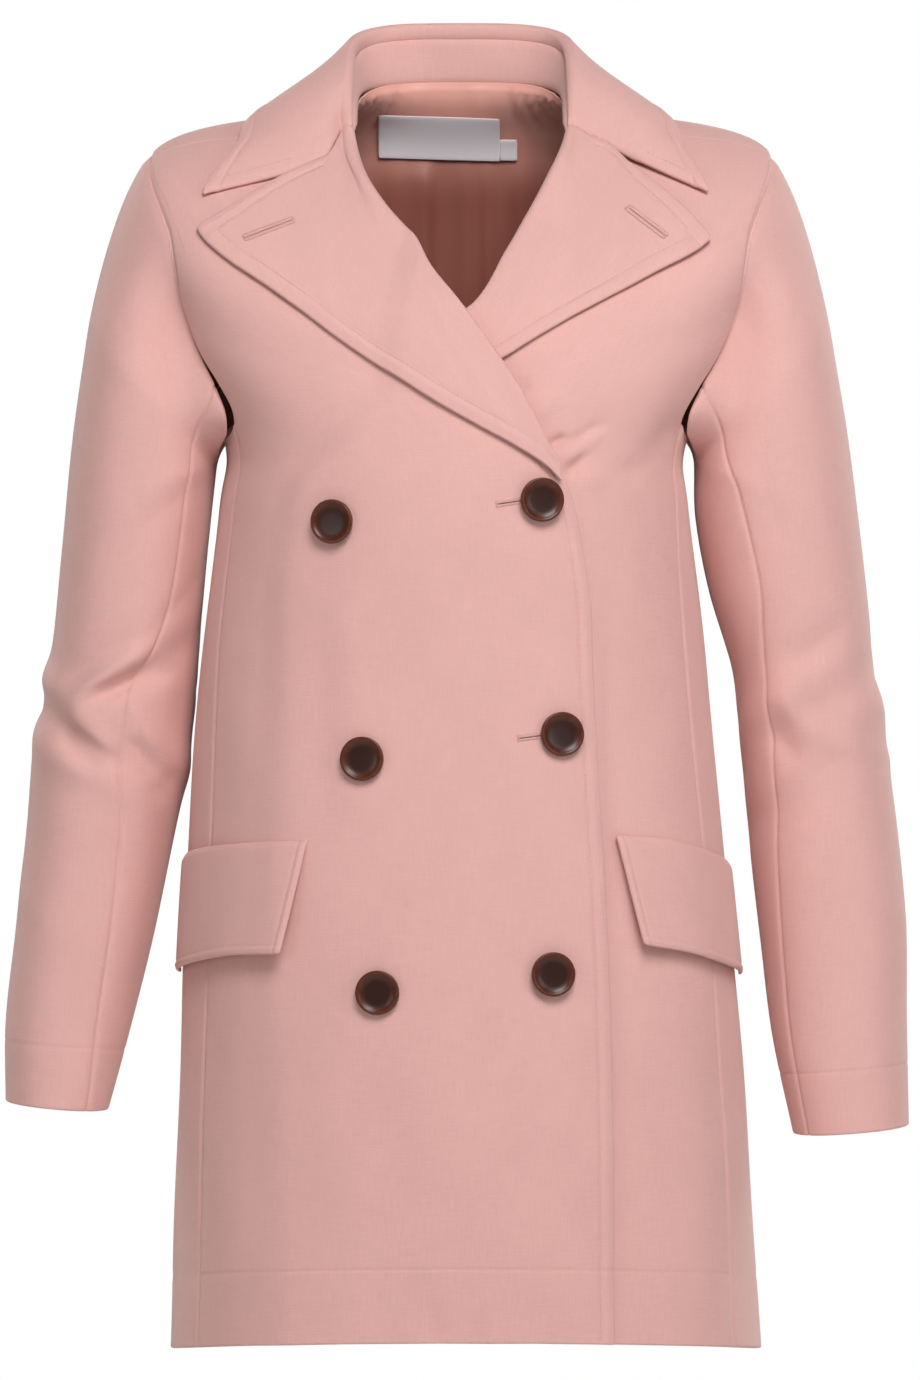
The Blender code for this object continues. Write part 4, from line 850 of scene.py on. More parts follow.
def satin_material(name, colour, roughness, thread, upper=None):
    """Satin: fine lengthwise threads, with a soft sheen across them, and maybe painted light: a lighter
    colour above a given height.
    """
    material, tree, shader = shader_of(name)
    chart = add_node(tree, "ShaderNodeUVMap", uv_map="cloth").outputs[0]
    fine = stretched_noise(tree, chart, (1.0 / thread, 90.0, 1.0))
    colour_socket = tint(tree, colour, fine, 0.9)
    if upper:
        # Painted light and shade: by height the colour turns from the dark lower colour to the light upper
        # one
        place = add_node(tree, "ShaderNodeTexCoord").outputs["Object"]
        up = add_node(tree, "ShaderNodeSeparateXYZ", {0: place}).outputs[2]
        low, high = PAINTED_LIGHT_HEIGHTS
        share = add_node(tree, "ShaderNodeMapRange", {"Value": up, "From Min": low, "From Max": high},
                         interpolation_type="SMOOTHSTEP").outputs[0]
        colour_socket = add_node(tree, "ShaderNodeMix", {0: share, 6: colour_socket, 7: (*upper, 1.0)},
                                 data_type="RGBA").outputs[2]
    tree.links.new(colour_socket, shader.inputs["Base Color"])
    bump = add_node(tree, "ShaderNodeBump", {"Strength": 0.15, "Distance": 0.0002, "Height": fine})
    tree.links.new(bump.outputs[0], shader.inputs["Normal"])
    shader.inputs["Roughness"].default_value = roughness
    shader.inputs["Anisotropic"].default_value = 0.4
    shader.inputs["Sheen Weight"].default_value = 0.15
    return material


def horn_material(finish):
    """Polished dark horn with clouded red-brown depths that shows lighter in its rim."""
    material, tree, shader = shader_of("dark_horn")
    place = add_node(tree, "ShaderNodeTexCoord").outputs["Object"]
    cloud = add_node(tree, "ShaderNodeTexNoise", {
        "Vector": place, "Scale": 160.0, "Detail": 4.0, "Distortion": 1.4}).outputs["Fac"]
    height = add_node(tree, "ShaderNodeAttribute", attribute_name="rim").outputs["Fac"]
    glow = math_node(tree, "MULTIPLY", height, cloud)
    mix = add_node(tree, "ShaderNodeMix", data_type="RGBA")
    mix.inputs[6].default_value = (*finish.horn, 1.0)
    mix.inputs[7].default_value = (0.17, 0.035, 0.012, 1.0)
    tree.links.new(glow, mix.inputs[0])
    tree.links.new(mix.outputs[2], shader.inputs["Base Color"])
    shader.inputs["Roughness"].default_value = 0.34
    shader.inputs["Specular IOR Level"].default_value = 0.32
    shader.inputs["Coat Weight"].default_value = 0.12
    shader.inputs["Coat Roughness"].default_value = 0.2
    return material


def thread_material(finish):
    """Twisted sewing thread in the wool's colour, a little darker."""
    material, tree, shader = shader_of("sewing_thread")
    place = add_node(tree, "ShaderNodeTexCoord").outputs["Object"]
    twist = add_node(tree, "ShaderNodeTexNoise", {"Vector": place, "Scale": 900.0}).outputs["Fac"]
    colour = tint(tree, [c * 0.93 for c in finish.wool], twist, 0.8)
    tree.links.new(colour, shader.inputs["Base Color"])
    shader.inputs["Roughness"].default_value = 0.6
    return material


def plain_material(name, colour, roughness):
    """Plain surface of one colour: the studio's floor, and the painted shadow in the buttonholes' slits."""
    material, _tree, shader = shader_of(name)
    shader.inputs["Base Color"].default_value = (*colour, 1.0)
    shader.inputs["Roughness"].default_value = roughness
    return material


def shared(name, make):
    """Material that is made once and used by several pieces."""
    found = bpy.data.materials.get(name)
    return found if found else make()


def wool():
    """The wool of every cut piece."""
    finish = bpy.context.scene.jacket_finish
    return shared("pink_wool", lambda: wool_material(finish))


def satin():
    """The lining's satin, painted dark low down as shade and painted lighter towards the neck seam as
    light.
    """
    finish = bpy.context.scene.jacket_finish
    return shared("satin_lining", lambda: satin_material(
        "satin_lining", finish.lining, 0.42, 0.0004, finish.lining_painted_light))


def thread():
    """The sewing thread."""
    finish = bpy.context.scene.jacket_finish
    return shared("sewing_thread", lambda: thread_material(finish))


# ---------------------------------------------------------------- operators

class JacketBody(bpy.types.Operator):
    """Fronts, side panels and back"""
    bl_idname = "jacket.body"
    bl_label = "Body panels"

    def execute(self, context):
        making = context.scene.jacket_making
        step, hem, stitch = making.mesh_step / MM, making.hem_depth / MM, making.edge_stitch / MM
        hem_trough = ("bottom", hem, HEM_TROUGH_DEPTH, 0.0, 0.0)
        edge_trough = ("left", stitch, TROUGH_DEPTH, FRONT_WELT_HEIGHT, 0.0)
        fronts = (
            ("front_right", -1, FRONT_EDGE_RIGHT, ROLL_RIGHT, lift_right, RIGHT_CREASES,
             (edge_trough, hem_trough)),
            ("front_left", 1, FRONT_EDGE_LEFT, ROLL_LEFT, lift_none, LEFT_CREASES, (hem_trough,)),
        )
        for name, side, edge, roll, lift, creases, troughs in fronts:
            places = front_places(side, edge, roll, step, hem, stitch)
            body_cloth(name, places, lift, ("right",), troughs, creases, (0, -1, 0.2), hem, FACING_WIDTH)
        both = ("left", "right")
        for name, side in (("side_right", -1), ("side_left", 1)):
            places = side_places(side, step, hem)
            body_cloth(name, places, lift_none, both, (hem_trough,), (), (side, 0, 0), hem)
        body_cloth("back", back_places(step, hem), lift_none, both, (hem_trough,), BACK_CREASES,
                   (0, 1, 0), hem)
        return {"FINISHED"}


# ---------------------------------------------------------------- sleeves

def sleeve_section(table, section, turn):
    """Outer face of a sleeve below the armhole, mm; section 1 is the first row of its table."""
    rows = np.moveaxis(rings_at(table, section - 1.0), -1, 0)
    z_outer, z_inner, x_outer, x_inner, y_centre, half_depth = rows
    sine, cosine = np.sin(np.radians(turn)), np.cos(np.radians(turn))
    power = SLEEVE_SQUARENESS
    reach = (np.abs(sine) ** power + np.abs(cosine) ** power) ** (-1 / power)
    sine, cosine = sine * reach, cosine * reach
    x = (x_outer + x_inner) / 2 + (x_outer - x_inner) / 2 * cosine
    z = (z_outer + z_inner) / 2 + (z_outer - z_inner) / 2 * cosine
    return np.stack((x, y_centre - half_depth * sine, z), axis=-1)


def sleeve_start(turn, side):
    """Outer face of the sleeve at the armhole seam, and the way the sleeve leaves it."""
    place = armhole(turn, side)
    point, normal = body(place[..., 0], place[..., 1]), body_normal(place[..., 0], place[..., 1])
    after, before = armhole(turn + 1.0, side), armhole(turn - 1.0, side)
    away = unit(np.cross(normal, body(after[..., 0], after[..., 1]) - body(before[..., 0], before[..., 1])))
    towards = np.sum(away * (body(side * 90.0, 6.0) - point), axis=-1, keepdims=True)
    away = np.where(towards < 0, -away, away)
    half = np.minimum(turn % 360.0, 360.0 - turn % 360.0)
    bend = (math.pi * smoothstep((half - SLEEVE_TURN_START) / SLEEVE_TURN_SPAN))[..., None]
    leave = away * np.cos(bend) + normal * np.sin(bend)
    over = np.sin(bend / 2) ** 2
    return point + away * SLEEVE_SEAM_GAP + normal * (WALL + LEAF_GAP * over), leave


def fold_height(folds, section, turn, sharp=False):
    """Height in mm of the folds of a sleeve; sharp ones have a narrow crest."""
    height = np.zeros(np.broadcast(section, turn).shape)
    for fold_turn, fold_section, half_turn, half_length, lean, size in folds:
        around = (turn - fold_turn + 180.0) % 360.0 - 180.0
        up = np.abs((section - fold_section - lean * around) / half_length)
        height += size * np.exp(-(up**1.4 if sharp else up**2) - (around / half_turn) ** 2)
    return height


# Finer creases of the sleeves about the elbow and under the arm, in the columns of their folds
SLEEVE_CREASES_RIGHT = (
    (10.0, 4.60, 45.0, 0.12, -0.004, -1.4), (130.0, 3.30, 30.0, 0.16, -0.016, -1.6),
    (125.0, 1.60, 34.0, 0.26, -0.020, 2.0), (110.0, 2.30, 26.0, 0.22, -0.020, -1.4),
    (250.0, 4.20, 40.0, 0.12, 0.006, -2.0), (275.0, 4.70, 44.0, 0.12, -0.006, 1.8),
    (215.0, 4.45, 34.0, 0.10, 0.010, -1.8), (60.0, 6.90, 50.0, 0.30, 0.006, 1.2),
)
SLEEVE_CREASES_LEFT = (
    (20.0, 4.30, 40.0, 0.14, 0.004, -1.4),
    (10.0, 5.20, 40.0, 0.16, -0.004, 1.2), (120.0, 1.70, 34.0, 0.26, -0.018, 1.8),
    (250.0, 4.20, 40.0, 0.12, 0.006, -1.8), (272.0, 4.80, 44.0, 0.12, -0.006, 1.6),
    (70.0, 6.60, 50.0, 0.30, -0.006, 1.0),
)


# Creases on the front of the sleeves, mm: from x, z to x, z, half width, height
SLEEVE_FRONT_RIGHT = (
    (-190, -322, -244, -359, 6.0, 5.6), (-186, -337, -231, -359, 4.5, -5.0),
    (-245, -361, -212, -394, 6.0, 5.0), (-251, -381, -224, -402, 6.0, -3.6),
    (-202, -316, -248, -348, 8.0, -1.8), (-206, -382, -187, -408, 4.5, -3.6),
    (-209, -358, -186, -391, 5.0, 2.0), (-202, -354, -176, -338, 5.5, -2.2),
    (-193, -422, -178, -402, 6.0, -1.6), (-240, -470, -205, -452, 14.0, -1.0),
)
SLEEVE_FRONT_LEFT = (
    (200, -343, 245, -310, 11.0, -3.8), (195, -352, 226, -386, 8.0, 3.4),
    (193, -375, 212, -400, 7.0, -2.6), (217, -411, 241, -391, 7.0, -1.5),
    (228, -392, 252, -380, 12.0, 1.2), (186, -214, 200, -262, 7.0, -1.2),
)


def sleeve_point(side, section, turn):
    """Outer face of a sleeve; section 0 is the armhole seam and 9 the cuff."""
    table = SLEEVE_LEFT if side > 0 else SLEEVE_RIGHT
    folds = SLEEVE_FOLDS_LEFT if side > 0 else SLEEVE_FOLDS_RIGHT
    creases = SLEEVE_CREASES_LEFT if side > 0 else SLEEVE_CREASES_RIGHT
    low = np.maximum(section, 1.0)
    point = sleeve_section(table, low, turn)
    middle = (point + sleeve_section(table, low, turn + 180.0)) / 2
    height = fold_height(folds, low, turn) + fold_height(creases, low, turn, True)
    lower = point + unit(point - middle) * height[..., None]
    start, leave = sleeve_start(turn, side)
    end = sleeve_section(table, np.ones_like(section), turn)
    arrive = unit(sleeve_section(table, np.full_like(section, 1.05), turn) - end)
    length = np.linalg.norm(end - start, axis=-1, keepdims=True)
    t = np.clip(section, 0.0, 1.0)[..., None]
    upper = hermite(t, start, leave * length * SLEEVE_PULL[0], end, arrive * length * SLEEVE_PULL[1])
    ease = fold_height(creases, np.maximum(section, 1.0), turn, True) * smoothstep(section)
    upper = upper + unit(point - middle) * ease[..., None]
    return np.where((section < 1.0)[..., None], upper, lower)


def sleeve_grid(side, upper, step, cuff_depth):
    """Outer face of the upper or the under sleeve."""
    seam_table = SLEEVE_SEAM_LEFT if side > 0 else SLEEVE_SEAM_RIGHT
    sections = np.concatenate((np.linspace(0.0, 1.0, 31), np.linspace(1.0, 9.0, 150)[1:]))
    heights = sleeve_point(side, sections, np.full(len(sections), 90.0))[:, 2]
    cuff = np.interp(heights[-1] + cuff_depth, heights[::-1], sections[::-1])
    per_mm = (sections[-1] - sections[-2]) / abs(heights[-1] - heights[-2])
    close = [cuff + per_mm * d for d in (-1.6, -0.8, 0.0, 0.8, 1.6)]
    close += [9.0 - per_mm * d for d in (0.6, 1.2)] + [0.012, 0.03]
    sections = np.unique(np.round(np.concatenate((sections, close)), 5))
    front = along(seam_table, sections)[:, 0]
    back = SLEEVE_SEAM_BACK
    first = np.full(len(sections), back - 360.0) if upper else front
    last = front if upper else np.full(len(sections), back)
    across = spaced(SLEEVE_UPPER_ACROSS if upper else SLEEVE_UNDER_ACROSS, step * SLEEVE_STEP_SHARE)
    first, last = first + SLEEVE_SEAM_HALF_GAP, last - SLEEVE_SEAM_HALF_GAP
    turn = first[:, None] + (last - first)[:, None] * across[None]
    section = np.broadcast_to(sections[:, None], turn.shape)
    return sleeve_point(side, section, turn), turn


class JacketSleeves(bpy.types.Operator):
    """Upper and under sleeves"""
    bl_idname = "jacket.sleeves"
    bl_label = "Sleeves"

    def execute(self, context):
        making = context.scene.jacket_making
        step, cuff = making.mesh_step / MM, making.cuff_depth / MM
        for side_name, side in (("right", -1), ("left", 1)):
            for part, upper in (("upper", True), ("under", False)):
                name = f"sleeve_{part}_{side_name}"
                points, _turn = sleeve_grid(side, upper, step, cuff)
                facing = (side if upper else -side, 0, 0)
                normals = grid_normals(points, facing)
                height = relief(points, ("left", "right"), (("top", cuff, CUFF_TROUGH_DEPTH, 0.0, 0.0),))
                creases = SLEEVE_FRONT_LEFT if side > 0 else SLEEVE_FRONT_RIGHT
                height += crease_height(points, creases, True) * smoothstep(-2.5 * normals[..., 1])
                height -= SEAM_DIP * np.exp(-(measure(points)["bottom"] / ARMHOLE_DIP_WIDTH) ** 2)
                outer = points + normals * height[..., None]
                inner = points + normals * (height - WALL)[..., None]
                surfaces[name] = outer, grid_normals(outer, facing)
                slots = (measure(outer)["top"] > cuff).astype(np.int32)
                piece = shell(name + "_cloth", name, outer, inner, [wool(), satin()], slots)
        return {"FINISHED"}


# ---------------------------------------------------------------- lapels, collar, flaps

# Share of a lapel's height over which it is moved to its seam with the collar, and their gap, mm
GORGE_BLEND, GORGE_GAP = 0.22, 0.35


def collar_end(side):
    """Collar's roll at its front end, and its edge from there to the notch; the lapel is sewn to them."""
    ring = float(along(COLLAR_FOLD, COLLAR_END_ANGLE)[0])
    shares = np.linspace(0.0, 1.0, 80)[1:]
    arc, edge = rolled_over(side * COLLAR_END_ANGLE, ring, front_edge_line(side, shares), shares)
    notch = above(np.array(NOTCH_LEFT if side > 0 else NOTCH_RIGHT), WALL + DOUBLE_CLOTH + NOTCH_STAND_OFF)
    last = int(np.argmin(np.linalg.norm(edge - notch, axis=1)))
    return arc, np.vstack((arc[-1:], edge[:last + 1]))


def spread(line, shares):
    """Points at shares of a line's length."""
    keys = lengths_along(line)
    return straight(line, keys, shares * keys[-1])


def sewn_to_collar(points, side, up, roll_columns, notch_column):
    """Lapel moved so that its top side runs along the collar's end as far as the notch."""
    arc, edge = collar_end(side)
    top = points[-1]
    keys = lengths_along(top)
    roll_end = keys[roll_columns - 1]
    shares = np.clip((keys[roll_columns:] - roll_end) / (keys[notch_column] - roll_end), 0.0, 1.0)
    goal = np.vstack((spread(arc, np.linspace(0.0, 1.0, roll_columns)), spread(edge, shares)))
    away = unit(points[-6] - top) * GORGE_GAP
    shift = goal + away - top
    past = (keys - keys[notch_column]) / (keys[-1] - keys[notch_column])
    shift = np.where((past > 0)[:, None], shift[notch_column] * (1 - smoothstep(past))[:, None], shift)
    ease = smoothstep((up - 1.0 + GORGE_BLEND) / GORGE_BLEND)
    return points + shift[None] * ease[:, None, None]


# Share of a leaf's width that is bridged, shares of its height where that starts and grows, and
# how straight it leaves and arrives
BRIDGE_SHARE, BRIDGE_START, BRIDGE_SPAN, BRIDGE_PULL = 0.24, 0.45, 0.2, 0.7


def bridged(points, roll_columns, across, up):
    """Leaf carried smoothly off its roll over the hollow where the neck meets the shoulder."""
    first = roll_columns - 1
    last = roll_columns + int(np.searchsorted(across, BRIDGE_SHARE))
    start, end = points[:, first], points[:, last]
    chord = np.linalg.norm(end - start, axis=-1, keepdims=True) * BRIDGE_PULL
    leave = unit(points[:, first] - points[:, first - 1]) * chord
    arrive = unit(points[:, last + 2] - points[:, last]) * chord
    keys = np.concatenate(((0.0,), across[:last - first] * LAPEL_ACROSS + ROLL_GAP))
    t = (keys / keys[-1])[None, :, None]
    curve = hermite(t, start[:, None], leave[:, None], end[:, None], arrive[:, None])
    share = smoothstep((up - BRIDGE_START) / BRIDGE_SPAN)[:, None, None]
    span = slice(first, last + 1)
    points = points.copy()
    points[:, span] = points[:, span] * (1 - share) + curve * share
    return points


def lapel_grid(side, roll, edge, tip, top, lift, step, stitch):
    """Outer face of a lapel: a half-round roll off the front's edge, then a flat leaf."""
    start = tuple(roll[0])
    edge_places = [start] + places_on_front(edge + (tip,), start)
    top_places = [tuple(roll[-1])] + places_on_front(top, edge_places[-1])[::-1] + [edge_places[-1]]
    low = LAPEL_START_SHARE

    def roll_side(w):
        return by_share(roll, low + (1 - low) * np.asarray(w, float))

    def edge_side(w):
        return by_share(edge_places, low + (1 - low) * np.asarray(w, float))

    zero = np.array((0.0,))
    bottom = line_between(roll_side(zero)[0], edge_side(zero)[0])
    across = spaced(LAPEL_ACROSS, step, (LAPEL_ACROSS - stitch,))
    up = spaced(LAPEL_UP, step, (LAPEL_UP - stitch,))
    leaf = patch(bottom, lambda u: by_share(top_places, u), roll_side, edge_side, across, up)
    first = np.array((0.0, LAPEL_LEAF_STEP))
    near = patch(bottom, lambda u: by_share(top_places, u), roll_side, edge_side, first, up)
    radius = LAPEL_ROLL_RADIUS_AT_BREAK
    radius = radius + (LAPEL_ROLL_RADIUS - LAPEL_ROLL_RADIUS_AT_BREAK) * smoothstep(up * 2.0)
    foot_place = leaf[:, 0]
    normal = body_normal(foot_place[:, 0], foot_place[:, 1])
    foot = above(foot_place, lift(foot_place))
    inward = body(near[:, 1, 0], near[:, 1, 1]) - body(near[:, 0, 0], near[:, 0, 1])
    inward = unit(inward - normal * np.sum(inward * normal, axis=-1, keepdims=True))
    bends = np.radians(np.linspace(0.0, 168.0, 11))
    out = ROLL_GAP + radius[:, None] * np.sin(bends)[None]
    rise = radius[:, None] * (1 - np.cos(bends))[None]
    rolled = foot[:, None] - inward[:, None] * out[..., None] + normal[:, None] * rise[..., None]
    edge_height = WALL + LEAF_GAP + DOUBLE_CLOTH
    height = 2 * radius[:, None] + (edge_height - 2 * radius[:, None]) * smoothstep(across)[None]
    sinking = smoothstep((up - LAPEL_DROP_START) / LAPEL_DROP_SPAN)[:, None]
    height = height - LAPEL_GORGE_DROP * sinking * (1 - across)[None] + lift(leaf)
    top_steps = np.linalg.norm(np.diff(np.array(top_places), axis=0), axis=1)
    notch_column = len(bends) + int(np.searchsorted(across, top_steps[0] / top_steps.sum()))
    points = bridged(np.concatenate((rolled, above(leaf, height)), axis=1), len(bends), across, up)
    return sewn_to_collar(points, side, up, len(bends), notch_column), notch_column


def gorge_dip(points, side, notch_gap):
    """Depth in mm of the pressed gorge seam on a side, which ends at the notch."""
    gaps = measure(points)
    dip = SEAM_DIP * np.exp(-((gaps[side] / SEAM_DIP_WIDTH) ** 2))
    return dip * smoothstep((notch_gap - gaps["left"]) / TROUGH_START_SPAN)


class JacketLapels(bpy.types.Operator):
    """Notch lapels with their rolls"""
    bl_idname = "jacket.lapels"
    bl_label = "Lapels"

    def execute(self, context):
        making = context.scene.jacket_making
        step, stitch = making.mesh_step / MM, making.edge_stitch / MM + 1.0
        rows = (
            ("lapel_right", -1, ROLL_RIGHT, LAPEL_RIGHT_EDGE, LAPEL_RIGHT_TIP, LAPEL_RIGHT_TOP, lift_right),
            ("lapel_left", 1, ROLL_LEFT, LAPEL_LEFT_EDGE, LAPEL_LEFT_TIP, LAPEL_LEFT_TOP, lift_none),
        )
        for name, side, roll, edge, tip, top, lift in rows:
            points, notch = lapel_grid(side, roll, edge, tip, top, lift, step, stitch)
            facing = (0.3 * side, -1, 0)
            normals = grid_normals(points, facing)
            start = float(measure(points)["left"][-1, notch])
            notch_gaps[name] = start
            troughs = (("right", stitch, TROUGH_DEPTH, WELT_HEIGHT, 0.0),
                       ("top", stitch, TROUGH_DEPTH, WELT_HEIGHT, start))
            height = relief(points, (), troughs) - gorge_dip(points, "top", start)
            outer = points + normals * height[..., None]
            inner = outer - normals * DOUBLE_CLOTH
            surfaces[name] = outer, grid_normals(outer, facing)
            shell(name + "_cloth", name, outer, inner, [wool()])
        return {"FINISHED"}


# Distance in mm of the notch from the inner seam, along the end of the collar
COLLAR_NOTCH_GAP = 58.0


def collar_angles(count):
    """Angles round the neck from one end of the collar over the back to the other."""
    first = COLLAR_END_ANGLE
    return np.linspace(first, 360.0 - first, count)


def half_of(angle):
    """Angle from the centre front, whichever side it is on."""
    return np.minimum(angle, 360.0 - angle)


def stand_seam(half):
    """Ring of the neck seam, and of the seam below the fold."""
    low, high = along(NECK_SEAM, half)[..., 0], along(COLLAR_FOLD, half)[..., 0]
    return low, low + (high - low) * STAND_SHARE, high


def fall_line(half_angle, side, shares):
    """Outer face of the collar's fall from its fold to its edge, at one angle round the neck."""
    table = COLLAR_EDGE_LEFT if side > 0 else COLLAR_EDGE_RIGHT
    edge_angle, edge_ring, stand_off = along(table, half_angle)
    angle, ring = side * half_angle, float(along(COLLAR_FOLD, half_angle)[0])
    normal = body_normal(angle, ring)
    start = above(np.array((angle, ring)), 2 * COLLAR_ROLL_RADIUS)
    end = above(np.array((edge_angle, edge_ring)), WALL + DOUBLE_CLOTH + stand_off)
    length = np.linalg.norm(end - start)
    leave = start + (end - start) / 3 + normal * length * FALL_BULGE[0]
    arrive = end - (end - start) / 3 + normal * length * FALL_BULGE[1]
    t = shares[:, None]
    return (1 - t)**3 * start + 3 * (1 - t)**2 * t * leave + 3 * (1 - t) * t**2 * arrive + t**3 * end


def rolled_over(angle, ring, fall, shares):
    """Collar's roll, bent until it heads along the fall, and the fall moved to start from it."""
    up = unit(body(angle, ring) - body(angle, ring - 0.05))
    normal = body_normal(angle, ring)
    start = above(np.array((angle, ring)), 2 * COLLAR_ROLL_RADIUS)
    way = unit(fall[2] - start)
    last = math.degrees(math.atan2(max(float(way @ normal), 0.0), float(way @ up)))
    bends = np.radians(np.linspace(0.0, max(last, 90.0), 10))[:, None]
    arc = body(angle, ring) + COLLAR_ROLL_RADIUS * (np.sin(bends) * up + (1 - np.cos(bends)) * normal)
    return arc, fall + (arc[-1] - start) * ((1 - shares) ** 2)[:, None]


def front_edge_line(side, shares):
    """Front edge of the collar's fall: fold, gorge, notch and tip."""
    notch = NOTCH_LEFT if side > 0 else NOTCH_RIGHT
    edge = (COLLAR_EDGE_LEFT if side > 0 else COLLAR_EDGE_RIGHT)[0]
    fold = np.array((side * COLLAR_END_ANGLE, float(along(COLLAR_FOLD, COLLAR_END_ANGLE)[0])))
    start = above(fold, 2 * COLLAR_ROLL_RADIUS)
    middle = above(np.array(notch), WALL + DOUBLE_CLOTH + NOTCH_STAND_OFF)
    end = above(np.array(edge[1:3]), WALL + DOUBLE_CLOTH + edge[3])
    return by_share((start, middle, end), shares)


def collar_grid(step, stitch):
    """Outer face of the collar's fall: from the seam inside, over the fold, to its outer edge."""
    around = spaced(COLLAR_AROUND, step, (stitch, COLLAR_AROUND - stitch))
    around = COLLAR_END_ANGLE + (360.0 - 2 * COLLAR_END_ANGLE) * around
    shares = spaced(COLLAR_DOWN, step, (COLLAR_DOWN - stitch,))[1:]
    shifts = {}
    for side in (-1, 1):
        shifts[side] = front_edge_line(side, shares) - fall_line(COLLAR_END_ANGLE, side, shares)
    lines = []
    for full in around:
        side = 1 if full <= 180.0 else -1
        half = float(half_of(full))
        angle = side * half
        _low, seam, high = stand_seam(half)
        seam += STAND_HEAD
        inside = [above(np.array((angle, seam + (high - seam) * k / 4)), 0.0) for k in range(4)]
        share = 1.0 - smoothstep((half - COLLAR_END_ANGLE) / COLLAR_END_SPAN)
        fall = fall_line(half, side, shares) + shifts[side] * share
        lines.append(np.vstack((inside, *rolled_over(angle, high, fall, shares))))
    return np.array(lines)


class JacketCollar(bpy.types.Operator):
    """Stand and fall of the collar"""
    bl_idname = "jacket.collar"
    bl_label = "Collar"

    def execute(self, context):
        making = context.scene.jacket_making
        step, stitch = making.mesh_step / MM, making.edge_stitch / MM + 1.0
        angles = collar_angles(130)
        low, seam, _high = stand_seam(half_of(angles))
        low, seam = low + STAND_FOOT, seam - STAND_HEAD
        share = np.linspace(0.0, 1.0, 14)[:, None]
        places = np.stack(np.broadcast_arrays(angles[None], low + (seam - low) * share), axis=-1)
        zero = np.zeros(places.shape[:2])
        inside = above(places, zero)
        dip = relief(inside, ("top", "bottom"))
        inner, outer = above(places, zero - dip), above(places, zero + WALL)
        surfaces["collar_stand"] = inner, -body_normal(places[..., 0], places[..., 1])
        shell("collar_stand_cloth", "collar_stand", outer, inner, [wool()])
        points = collar_grid(step, stitch)
        facing = (0, 1, 0.2)
        normals = grid_normals(points, facing)
        notch_gaps["collar_fall"] = COLLAR_NOTCH_GAP
        troughs = (("right", stitch, TROUGH_DEPTH, WELT_HEIGHT, 0.0),
                   ("top", stitch, TROUGH_DEPTH, WELT_HEIGHT, COLLAR_NOTCH_GAP),
                   ("bottom", stitch, TROUGH_DEPTH, WELT_HEIGHT, COLLAR_NOTCH_GAP))
        height = relief(points, ("left",), troughs)
        for side in ("top", "bottom"):
            height -= gorge_dip(points, side, COLLAR_NOTCH_GAP)
        outer = points + normals * height[..., None]
        inner = outer - normals * DOUBLE_CLOTH
        surfaces["collar_fall"] = outer, grid_normals(outer, facing)
        shell("collar_fall_cloth", "collar_fall", outer, inner, [wool()])
        return {"FINISHED"}


class JacketFlaps(bpy.types.Operator):
    """Pocket flaps that hang from their seams"""
    bl_idname = "jacket.flaps"
    bl_label = "Pocket flaps"

    def execute(self, context):
        step = context.scene.jacket_making.mesh_step / MM
        rows = (
            ("pocket_flap_right", -1, FLAP_RIGHT_TOP, FLAP_RIGHT_BOTTOM, FLAP_STAND_OFF_RIGHT, lift_right),
            ("pocket_flap_left", 1, FLAP_LEFT_TOP, FLAP_LEFT_BOTTOM, FLAP_STAND_OFF_LEFT, lift_none),
        )
        for name, side, top, bottom, stand_off, lift in rows:
            share = spaced(FLAP_ACROSS, step, (FLAP_STITCH,))
            down = spaced(FLAP_DOWN, step, (FLAP_DOWN - FLAP_STITCH,))
            grown = down[:, None, None]
            places = by_share(top, share)[None] * (1 - grown) + by_share(bottom, share)[None] * grown
            height = WALL + LAYER_GAP + lift(places)
            height = height + down[:, None] * (FLAP_SPRING + stand_off * (1 - share[None]) ** 2)
            facing = (side, -1, 0)
            points = above(places, height + DOUBLE_CLOTH)
            dip = relief(points, ("bottom",), FLAP_TROUGHS)
            outer = above(places, height + DOUBLE_CLOTH + dip)
            inner = above(places, height + dip)
            surfaces[name] = outer, grid_normals(outer, facing)
            shell(name + "_cloth", name, outer, inner, [wool()])
        return {"FINISHED"}


# ---------------------------------------------------------------- lining and labels

# Gathers of the lining below the neck seam: angle of the crest, half width, height, length in rings
LINING_GATHERS = (
    (149.0, 2.6, 3.0, 0.9), (159.0, 2.0, 1.2, 0.6), (171.0, 2.4, 1.3, 0.5), (202.0, 2.2, 1.6, 0.9),
    (210.0, 1.8, 1.1, 0.6), (219.0, 2.2, 3.6, 0.9), (225.5, 1.9, 3.2, 0.7), (232.0, 2.2, 4.0, 1.0),
    (240.0, 2.0, 3.2, 0.8), (141.5, 2.2, 3.8, 0.9), (134.5, 1.9, 3.2, 0.7), (127.0, 2.4, 4.0, 1.1),
    (119.0, 2.0, 2.6, 0.8), (164.0, 1.6, 1.0, 0.4), (186.0, 1.6, 0.9, 0.4), (248.0, 2.4, 2.2, 0.8),
)
# Rings that the lining is drawn up by, over which rings, and over which it is sewn in; the share
# of its folds that is left in the seam, and that its outer face has
LINING_RISE, LINING_RISE_SPAN, SEWN_IN_SPAN = 0.2, 0.6, 0.12
FLAT_SHARE, BACK_SHARE, PLEAT_TOP_SPAN, LINING_STEP_SHARE = 0.35, 0.6, 0.3, 0.7
# Long hanging folds of the lining: angle of the crest, half width, height
LINING_FOLDS = (
    (170.0, 2.2, 2.2), (178.0, 3.0, 1.6), (204.0, 3.5, 2.4), (214.0, 3.0, 2.0), (226.0, 3.5, 2.6),
    (158.0, 3.0, 2.2), (147.0, 3.2, 2.6), (135.0, 3.5, 2.4), (238.0, 3.5, 2.2),
)


